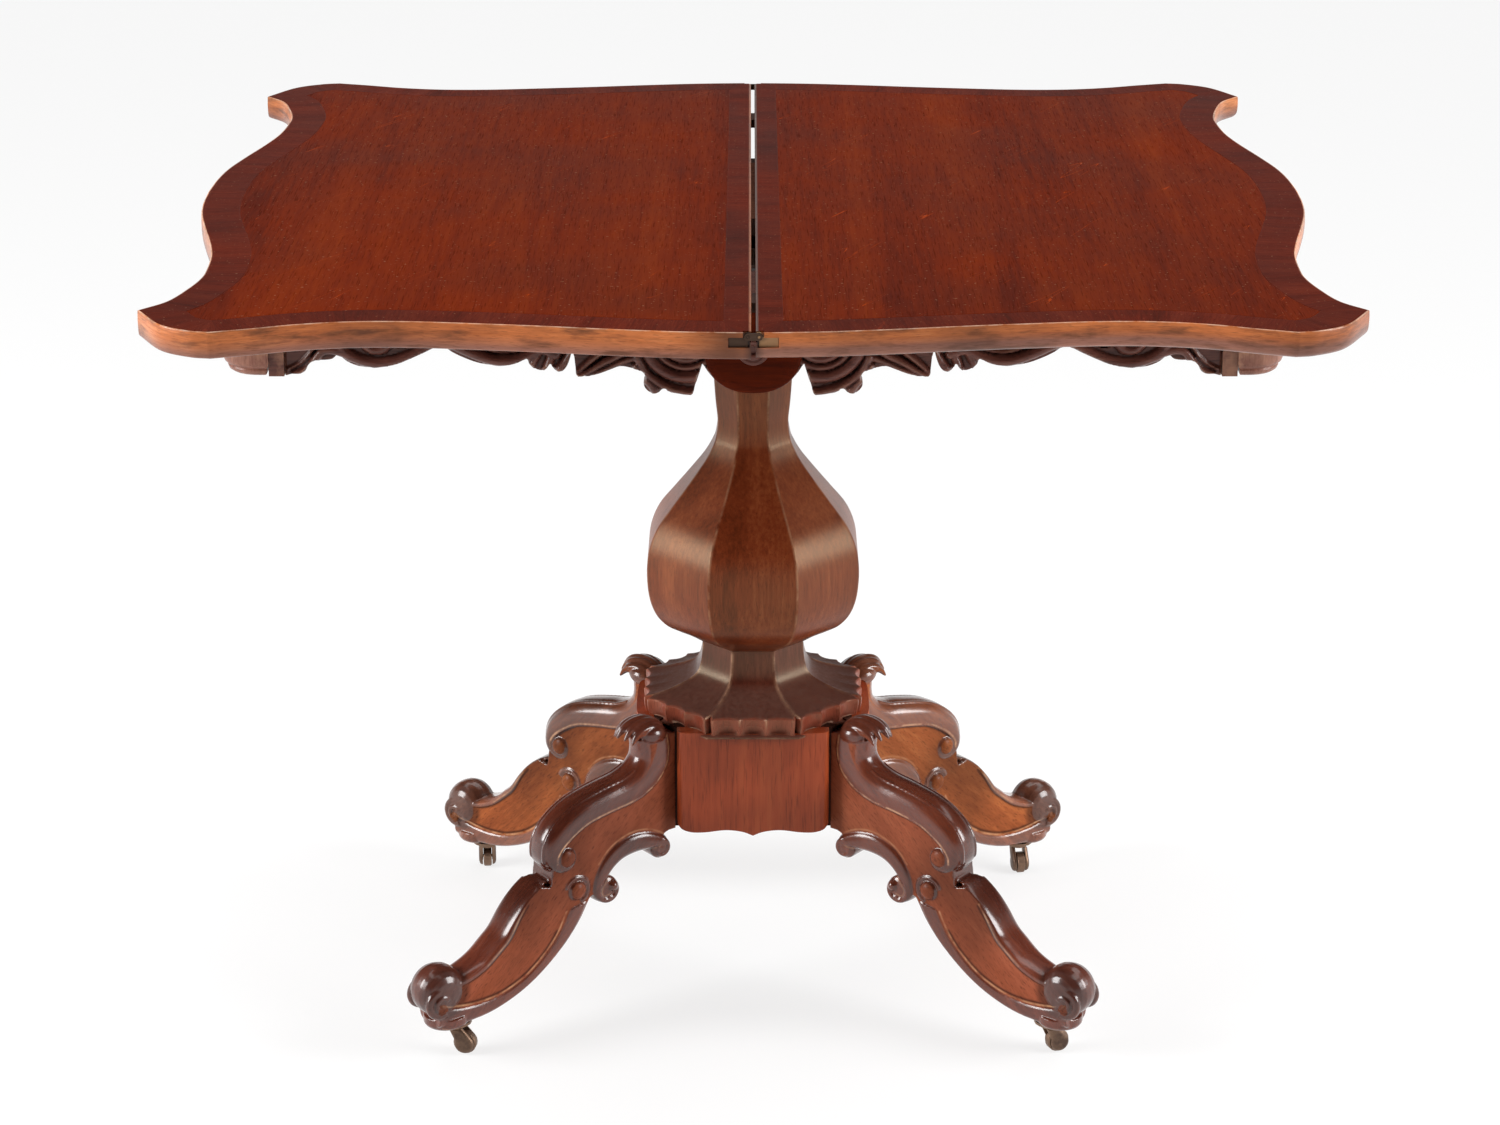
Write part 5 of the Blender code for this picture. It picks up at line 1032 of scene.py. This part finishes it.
# Front apron, seen square on, in millimetres from its middle and below the frame's top; right half
APRON_FRONT = -0.192
APRON_BACK = -0.174
APRON_HALF_LENGTH = 0.3947
APRON_DROP = 0.110
APRON_OUTLINE = (
    (0, 107), (14, 105.5), (26, 100.5), (36, 92), (42.5, 82.5), (43.5, 84), (46, 92), (49, 101), (51.5, 109),
    (57, 109.8), (65, 109), (71, 107.5), (75, 103.5), (78, 106), (83, 108.5), (88, 107.5), (92, 103),
    (92.5, 98), (91, 94), (94, 89), (103, 86.5), (112, 85), (122, 88.5), (134, 92), (144, 93.5), (149, 92.5),
    (150, 86), (151, 76), (152.5, 70), (154, 76), (157, 84), (161, 88.5), (166, 89), (169, 86), (171, 82),
    (174, 86), (178, 88.5), (184, 87), (189, 82), (191, 78), (200, 82), (210, 84), (220, 84), (232, 82),
    (244, 77.5), (254, 72.5), (262, 67), (269, 68.5), (277, 72.5), (288, 77.5), (300, 82.5), (312, 85),
    (323, 86), (334, 84.5), (343, 80.5), (350, 75), (355, 78.5), (362, 79.5), (370, 79.5), (375, 83),
    (378, 88.5), (383, 91), (389, 91), (394.7, 92.5))
TABLET_EDGE = ((0, 107), (12, 106), (24, 101.5), (34, 93), (40, 80), (42, 62), (42, 30))
BOSS_DROP = 67
RING_PLACE = (56.6, 57.8)
APRON_CELL = 0.0012
RELIEF_DEPTH = 0.0095


def circle_line(centre, radius, start=0, stop=360):
    """Points in millimetres along an arc, in degrees."""
    return [(centre[0] + radius * math.cos(angle), centre[1] + radius * math.sin(angle))
            for angle in map(math.radians, np.linspace(start, stop, 32))]


# Ridges of the relief: millimetres along and down, half width at the start and the end, height, sharpness
APRON_RIDGES = (
    (circle_line(RING_PLACE, 36.5, -60, 175), 5.5, 5.5, 9.5, 0.5),
    (circle_line(RING_PLACE, 28), 3.4, 3.4, 7, 0.5), (circle_line(RING_PLACE, 20.5), 4.2, 4.2, 8.5, 0.5),
    (((98, 76), (90, 90), (76, 101), (62, 105.5), (51, 107)), 4.5, 3.5, 9.5, 0.6),
    (((99, 84), (93, 93), (86, 101), (83, 105)), 3.5, 5, 8.5, 0.6),
    (((101, 66), (112, 74), (126, 81), (138, 88), (149, 92.5)), 4.5, 3, 9.5, 0.6),
    (((100, 56), (114, 63), (130, 74), (142, 84), (149, 91)), 4.5, 2.5, 8, 0.6),
    (((101, 77), (113, 81), (126, 87), (140, 92)), 4, 2.5, 8, 0.6),
    (((150, 60), (153, 70), (158, 80), (163, 86)), 4.5, 4.5, 8.5, 0.6),
    (((160, 56), (166, 68), (171, 78), (174, 86)), 4.5, 4.5, 8.5, 0.6),
    (((170, 58), (177, 68), (183, 76), (187, 84)), 4, 4, 8, 0.6),
    (((166, 74), (178, 70), (189, 75), (203, 79.5), (218, 79.5), (236, 73.5), (252, 66), (266, 62)),
     5, 5, 9, 0.5),
    (((176, 62), (190, 68), (204, 71.5), (218, 71), (234, 65)), 2.5, 2.5, 5, 0.5),
    (((258, 62), (274, 68), (288, 75), (304, 80.5), (320, 81.5), (336, 77), (346, 69), (350, 58), (344, 48),
      (331, 42), (318, 44), (308, 51), (305, 60), (311, 69), (321, 70), (328, 64)), 5.2, 4.6, 9, 0.5),
    (circle_line((318, 58), 4.5), 5, 5, 8.5, 0.6),
    (((338, 76), (346, 72), (356, 70), (364, 72), (371, 80), (378, 87), (388, 90)), 5.5, 3, 9, 0.5),
    (((344, 62), (356, 61), (366, 64), (374, 73), (382, 81), (392, 86)), 3, 2.5, 7.5, 0.8))
# Round hollows, painted nearly black as shade for the board's openings: millimetres along and down, radius
APRON_SUNK = ((214, 60, 22), (*RING_PLACE, 16.5), (296, 60, 9))
APRON_RAIL = 42


def apron_outline(points, steps):
    """The lower edge of a symmetrical board in the apron's plane, from its right half in millimetres."""
    right = smooth_curve([Vector((metres(along), FRAME_TOP - metres(down))) for along, down in points], steps)
    return [Vector((-point.x, point.y)) for point in reversed(right[1:])] + right


def relief_height(points):
    """How far the carving stands over its ground at points of the right half, all in millimetres."""
    along, down = points.T
    height = np.where(down < APRON_RAIL, 6.0, 2.0)
    height = np.where((along > 372) & (down < 95), 5.0, height)
    for centre_along, centre_down, reach in APRON_SUNK:
        near = np.hypot(along - centre_along, down - centre_down) < reach
        height = np.where(near & (down > APRON_RAIL), 0.0, height)
    for line, first, last, top, power in APRON_RIDGES:
        curve = np.array([tuple(point) for point in smooth_curve(line, 3)])
        best, width = np.full(len(points), 1e9), np.full(len(points), float(first))
        for index, (start, stop) in enumerate(zip(curve, curve[1:])):
            run = stop - start
            share = unit(((points - start) @ run) / max(run @ run, 1e-9))
            gap = np.linalg.norm(points - start - share[:, None] * run, axis=1)
            closer = gap < best
            best = np.where(closer, gap, best)
            width = np.where(closer, first + (last - first) * (index + share) / (len(curve) - 1), width)
        height = np.maximum(height, top * unit(1 - (best / width) ** 2) ** power)
    return height


def inside_outline(points, outline):
    """Which points lie inside a closed outline."""
    edge = np.array([tuple(point) for point in outline])
    inside = np.zeros(len(points), bool)
    for start, stop in zip(edge, np.roll(edge, -1, 0)):
        crosses = (start[1] > points[:, 1]) != (stop[1] > points[:, 1])
        run = (stop[0] - start[0]) / (stop[1] - start[1]) if stop[1] != start[1] else 0.0
        inside ^= crosses & (points[:, 0] < start[0] + (points[:, 1] - start[1]) * run)
    return inside


def crossings(across, up):
    """The points of a grid, row by row."""
    return np.stack(np.meshgrid(across, up), -1).reshape(-1, 2)


def front_apron():
    """The front board, carved in relief with rings, leaves and C-scrolls; its round hollows are painted
    nearly black as shade.
    """
    outline = apron_outline(APRON_OUTLINE, 3)
    outline += [Vector((APRON_HALF_LENGTH, FRAME_TOP)), Vector((-APRON_HALF_LENGTH, FRAME_TOP))]
    columns, rows = round(2 * APRON_HALF_LENGTH / APRON_CELL), round(APRON_DROP / APRON_CELL)
    along = np.linspace(-APRON_HALF_LENGTH, APRON_HALF_LENGTH, columns + 1)
    down = np.linspace(FRAME_TOP - APRON_DROP, FRAME_TOP, rows + 1)
    grid = crossings(along, down)
    middles = crossings((along[:-1] + along[1:]) / 2, (down[:-1] + down[1:]) / 2)
    kept = inside_outline(middles, outline).reshape(rows, columns)
    uses = np.zeros((rows + 1, columns + 1), int)
    for row in (0, 1):
        for column in (0, 1):
            uses[row:rows + row, column:columns + column] += kept
    uses = uses.ravel()
    border = np.flatnonzero((uses > 0) & (uses < 4))
    grid[border] = nearest_on(outline, [Vector(point) for point in grid[border]])
    grid[:, 1] = np.where(uses > 0, grid[:, 1], FRAME_TOP)
    folded = np.column_stack([np.abs(grid[:, 0]), FRAME_TOP - grid[:, 1]]) / MILLIMETRE
    height = relief_height(folded) * MILLIMETRE
    height[border] = np.minimum(height[border], 0.0045)
    used = np.flatnonzero(uses)
    number = -np.ones(len(grid), int)
    number[used] = np.arange(len(used))
    verts = [(grid[i, 0], APRON_FRONT + RELIEF_DEPTH - height[i], grid[i, 1]) for i in used]
    verts += [(grid[i, 0], APRON_BACK, grid[i, 1]) for i in used]
    faces, edges, shift = [], {}, len(used)
    for row, column in zip(*np.nonzero(kept)):
        first = row * (columns + 1) + column
        loop = [int(number[i]) for i in (first, first + 1, first + columns + 2, first + columns + 1)]
        faces += [tuple(loop), tuple(index + shift for index in reversed(loop))]
        for start, stop in zip(loop, loop[1:] + loop[:1]):
            if (stop, start) in edges:
                del edges[(stop, start)]
            else:
                edges[(start, stop)] = True
    faces += [(stop, start, start + shift, stop + shift) for start, stop in edges]
    item = new_object("front_apron_carved", verts, faces, sharp=50)
    dress(item, "stand", "frame_wood", [FRAME_WOOD, HOLLOW_SHADE_WOOD], "front_apron")
    # Faces of the round hollows take the nearly black painted shade.
    sunk = APRON_FRONT + RELIEF_DEPTH - 0.0012
    for face in item.data.polygons:
        face.material_index = int(sunk < face.center.y < APRON_BACK - 0.001 and abs(face.normal.y) > 0.5)


def front_tablet():
    """The plain tablet in the middle of the front apron, with its round boss."""
    outline = apron_outline(TABLET_EDGE, 5)
    rings = [[in_plane(point, APRON_FRONT - out) for point in drawn_in(outline, inset)] for inset, out in
             ((0.0, -0.007), (0.0, -0.001), (0.0008, 0.0008), (0.003, 0.0018), (0.009, 0.0026))]
    dress(lofted("front_tablet", rings, sharp=50), "stand", "frame_wood", [TABLET_WOOD])

    def circle(radius, out, angles):
        """Points round the boss's centre, so far before the apron."""
        centre = Vector((0, FRAME_TOP - metres(BOSS_DROP)))
        return [in_plane(centre + direction(angle) * radius, APRON_FRONT - out) for angle in angles]

    shapes = [tube(circle(radius, out, np.linspace(0, 2 * math.pi, 48)), [thick] * 48, 12)
              for radius, thick, out in ((0.0118, 0.0024, 0.004), (0.0066, 0.0030, 0.0045))]
    disc = circle(0.011, 0.0, np.linspace(0, 2 * math.pi, 40, endpoint=False))
    shapes.append(loft_shape([disc, [point + Vector((0, -0.0045, 0)) for point in disc]]))
    dress(fused("front_boss", shapes, 0.0006), "stand", "frame_wood", [FRAME_WOOD])


front_apron()
front_tablet()

# Corner blocks: a flat panel, and a rounded block with a moulded foot
PANEL_END = 0.408
PANEL_STEP = 0.002
BLOCK_RADIUS = 0.0325
# Inset and height over the foot; the last ring goes up to the top
BLOCK_FOOT = ((0.011, 0.0), (0.0075, 0.0006), (0.0048, 0.0025), (0.0038, 0.005), (0.0042, 0.0066),
              (0.003, 0.0078), (0.0012, 0.0092), (0.0, 0.0125))


def corner_block(name, side, end):
    """A corner's flat panel and its rounded block."""
    low, high, (inner_x, outer_x), (inner_y, outer_y) = reaches("corner_block_" + name)
    front = outer_y - PANEL_STEP
    panel = ((inner_x, inner_y), (PANEL_END, inner_y), (PANEL_END, front), (inner_x, front))
    rings = [[Vector((side * x, end * y, height)) for x, y in panel] for height in (low.z + 0.001, high.z)]
    dress(lofted("corner_panel_" + name, rings, sharp=30), "stand", "frame_wood", [FRAME_WOOD])
    plan = [(PANEL_END, inner_y), (outer_x, inner_y)]
    plan += [(outer_x - BLOCK_RADIUS + BLOCK_RADIUS * math.cos(angle),
              outer_y - BLOCK_RADIUS + BLOCK_RADIUS * math.sin(angle))
             for angle in np.linspace(0, math.pi / 2, 14)]
    plan.append((PANEL_END, outer_y))
    rings = []
    for inset, level in BLOCK_FOOT + ((0.0, high.z - low.z),):
        ring = offset_outline(plan, [0.0] + [inset] * (len(plan) - 2) + [inset * 0.4])
        rings.append([Vector((side * point.x, end * point.y, low.z + level)) for point in ring])
    item = lofted("corner_block_carved_" + name, rings, sharp=35)
    dress(item, "stand", "frame_wood", [BLOCK_WOOD], "corner_block_" + name)


for name, (side, end) in LEGS.items():
    corner_block(name, side, end)

# Hub boards: from the end to the middle as a share, and the bow of the face or the drop of the lower edge
BOARD_BOW_SHARES = ((1, -0.6), (0.97, 0.1), (0.88, 0.6), (0.6, 0.9), (0, 1))
BOARD_EDGE_SHARES = ((1, 2), (0.93, 0.6), (0.8, -0.1), (0.62, 0.05), (0.36, 0.8), (0.14, 0.25), (0, -1))
BOARD_BOW = 0.005
BOARD_CUT = 0.003


def hub_board(place):
    """A bowed board with a shaped lower edge, fitted to its CAD node's box."""
    node = "hub_" + place + "_board"
    low, high, x_reach, y_reach = reaches(node)
    turned = high.x - low.x < high.y - low.y
    half = (high.y - low.y) / 2 if turned else (high.x - low.x) / 2
    outward = 1 if (low + high).x + (low + high).y > 0 else -1
    inner, outer = x_reach if turned else y_reach
    bow, edge = (list(zip(*reversed(smooth_curve(shares, 10))))
                 for shares in (BOARD_BOW_SHARES, BOARD_EDGE_SHARES))
    rings = []
    for share in np.sin(np.linspace(-math.pi / 2, math.pi / 2, 81)):
        face = outer - BOARD_BOW + BOARD_BOW * float(np.interp(abs(share), *bow))
        foot = HUB_BOTTOM + BOARD_CUT * float(np.interp(abs(share), *edge))
        section = [(inner, HUB_TOP), (inner, foot), (face - 0.0010, foot), (face - 0.0003, foot + 0.0003),
                   (face, foot + 0.0010)]
        section += [(face, foot + (HUB_TOP - foot) * part) for part in (0.25, 0.5, 0.75)] + [(face, HUB_TOP)]
        rings.append([Vector((outward * out, share * half, height)) if turned
                      else Vector((share * half, outward * out, height)) for out, height in section])
    dress(lofted("hub_panel_" + place, rings, sharp=35), "stand", "pillar_wood", [HUB_WOOD], node)


for place in ("front", "back", "left", "right"):
    hub_board(place)

# Castors
CHEEK_INNER = 0.0048
CHEEK_OUTER = 0.0086
CHEEK_RADIUS = 0.0088
CHEEK_TOP = 0.0262
CHEEK_NECK = 0.0062
CHEEK_DOME = ((0.0, CHEEK_INNER), (0.0, CHEEK_INNER + 0.0012), (0.0008, CHEEK_OUTER - 0.0012),
              (0.0024, CHEEK_OUTER - 0.0004), (0.0042, CHEEK_OUTER))


def caster_cheeks(name):
    """Two domed cheeks over a castor's fork."""
    place, wheel = (sum(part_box("caster_" + part + "_" + name), Vector()) / 2 for part in ("plate", "wheel"))
    trail = Vector((wheel.x - place.x, wheel.y - place.y, 0))
    ahead = trail.normalized()
    aside = Vector((-ahead.y, ahead.x, 0))
    outline = [Vector((trail.length + CHEEK_RADIUS * math.cos(angle),
                       wheel.z + CHEEK_RADIUS * math.sin(angle)))
               for angle in np.linspace(math.radians(-200), math.radians(35), 26)]
    outline += [Vector((CHEEK_NECK, CHEEK_TOP)), Vector((-CHEEK_NECK, CHEEK_TOP))]
    for face, label in ((-1, "left"), (1, "right")):
        rings = []
        for inset, out in CHEEK_DOME:
            ring = drawn_in(outline, inset)[::-face]
            rings.append([Vector((place.x, place.y, point.y)) + ahead * point.x + aside * face * out
                          for point in ring])
        cheek = lofted("caster_cheek_" + label + "_" + name, rings, sharp=40)
        dress(cheek, "caster_" + name, "brass", [BRASS])


for name in LEGS:
    caster_cheeks(name)

# CAD nodes that keep their own shape
KEPT = {
    END_FRAME_WOOD: ("left_apron", "right_apron"),
    BACK_WOOD: ("back_apron", "leaf_tenon_front", "leaf_tenon_back"),
    INNER_WOOD: ("pivot_rail", "plain_rail", "pillar_block"),
    CORE_WOOD: ("hub_core",),
    BRASS: [f"caster_{part}_{name}" for part in ("plate", "fork", "axle", "wheel") for name in LEGS],
    DARK_BRASS: ("hinge_plate_lower_front", "hinge_plate_lower_back", "hinge_link_front", "hinge_link_back"),
    BRIGHT_BRASS: ("hinge_plate_flap_front", "hinge_plate_flap_back"),
    IRON: ("pivot_plate", "pivot_bolt", "pivot_washer", "pivot_nut"),
}
for look, names in KEPT.items():
    for name in names:
        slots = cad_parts[name].data.materials
        slots.clear()
        slots.append(look)

# Floor: it glows towards the camera and in mirrors, so that it looks as white as the photograph's
FLOOR_HALF = 16
FLOOR_GLOW = 1.04
FLOOR_GLOW_SHARE = 0.72
WHITE = (1.0, 1.0, 1.0, 1.0)

corners = [(-1, -1), (1, -1), (1, 1), (-1, 1)]
floor = new_object("floor", [(x * FLOOR_HALF, y * FLOOR_HALF, 0) for x, y in corners], [(0, 1, 2, 3)])
tree = Tree(bpy.data.materials.new("pale_floor"))
rays = tree.nodes.new("ShaderNodeLightPath").outputs
shown = tree.most(tree.most(rays["Is Camera Ray"], rays["Is Glossy Ray"]), rays["Is Transmission Ray"])
matt = tree.nodes["Principled BSDF"]
tree.fill(matt, {"Base Color": (0.9, 0.9, 0.9, 1.0), "Roughness": 0.9, "Specular IOR Level": 0.0})
glow = tree.add("Emission", {"Color": WHITE, "Strength": FLOOR_GLOW})
blend = tree.add("MixShader", {0: tree.times(shown, FLOOR_GLOW_SHARE), 1: matt.outputs[0], 2: glow})
tree.fill(tree.nodes["Material Output"], {"Surface": blend})
floor.data.materials.append(tree.owner)

# World: white to the camera, white near the horizon in mirrors, and else only a faint light from above
tree = Tree(bpy.data.worlds.new("studio"))
bpy.context.scene.world = tree.owner
upward = tree.add("SeparateXYZ", {0: tree.add("TexCoord", out="Generated")}, "Z")
level = tree.add("MapRange", {"Value": upward, "From Min": 0.05, "From Max": 0.9, "To Min": 0.002,
                              "To Max": 0.028})
backdrop = tree.add("MapRange", {"Value": upward, "From Min": 0.06, "From Max": 0.36, "To Min": 1.0,
                                 "To Max": 0.0})
rays = tree.nodes.new("ShaderNodeLightPath").outputs
mirrored = tree.times(tree.most(rays["Is Glossy Ray"], rays["Is Transmission Ray"]), backdrop)
seen = tree.most(tree.most(rays["Is Camera Ray"], mirrored), level)
tree.fill(tree.nodes["Background"], {"Color": WHITE, "Strength": seen})

# Lights
SOFTBOX_REACH = 2.8
SOFTBOX_AHEAD = -0.75
SOFTBOX_HEIGHT = 1.35
SOFTBOX_SIZE = 1.4
SOFTBOX_TARGET = Vector((0, 0, 0.45))
SUN_STRENGTH = 2.05
SUN_SPREAD = math.radians(70)
SUN_TILT = (math.radians(-8), math.radians(6), 0)

for name, side, power in (("left_softbox", -1, 100), ("right_softbox", 1, 90)):
    light = placed(name, bpy.data.lights.new(name, "AREA"))
    light.data.shape, light.data.size, light.data.energy = "SQUARE", SOFTBOX_SIZE, power
    light.location = (side * SOFTBOX_REACH, SOFTBOX_AHEAD, SOFTBOX_HEIGHT)
    light.rotation_euler = (SOFTBOX_TARGET - light.location).to_track_quat("-Z", "Y").to_euler()
sun = placed("overhead_light", bpy.data.lights.new("overhead_light", "SUN"))
sun.data.energy, sun.data.angle = SUN_STRENGTH, SUN_SPREAD
sun.rotation_euler = SUN_TILT

# Camera, as worked out from the photograph
CAMERA_PLACE = (-0.0027, -3.063, 1.481)
CAMERA_PITCH = math.radians(70.5)
CAMERA_LENS = 85.158
CAMERA_SENSOR = 36
CAMERA_CLIP_END = 60

camera = placed("camera", bpy.data.cameras.new("camera"))
camera.location = CAMERA_PLACE
camera.rotation_euler = (CAMERA_PITCH, 0, 0)
camera.data.sensor_width, camera.data.lens = CAMERA_SENSOR, CAMERA_LENS
camera.data.clip_end = CAMERA_CLIP_END
bpy.context.scene.camera = camera
bpy.context.scene.view_settings.view_transform = "Standard"
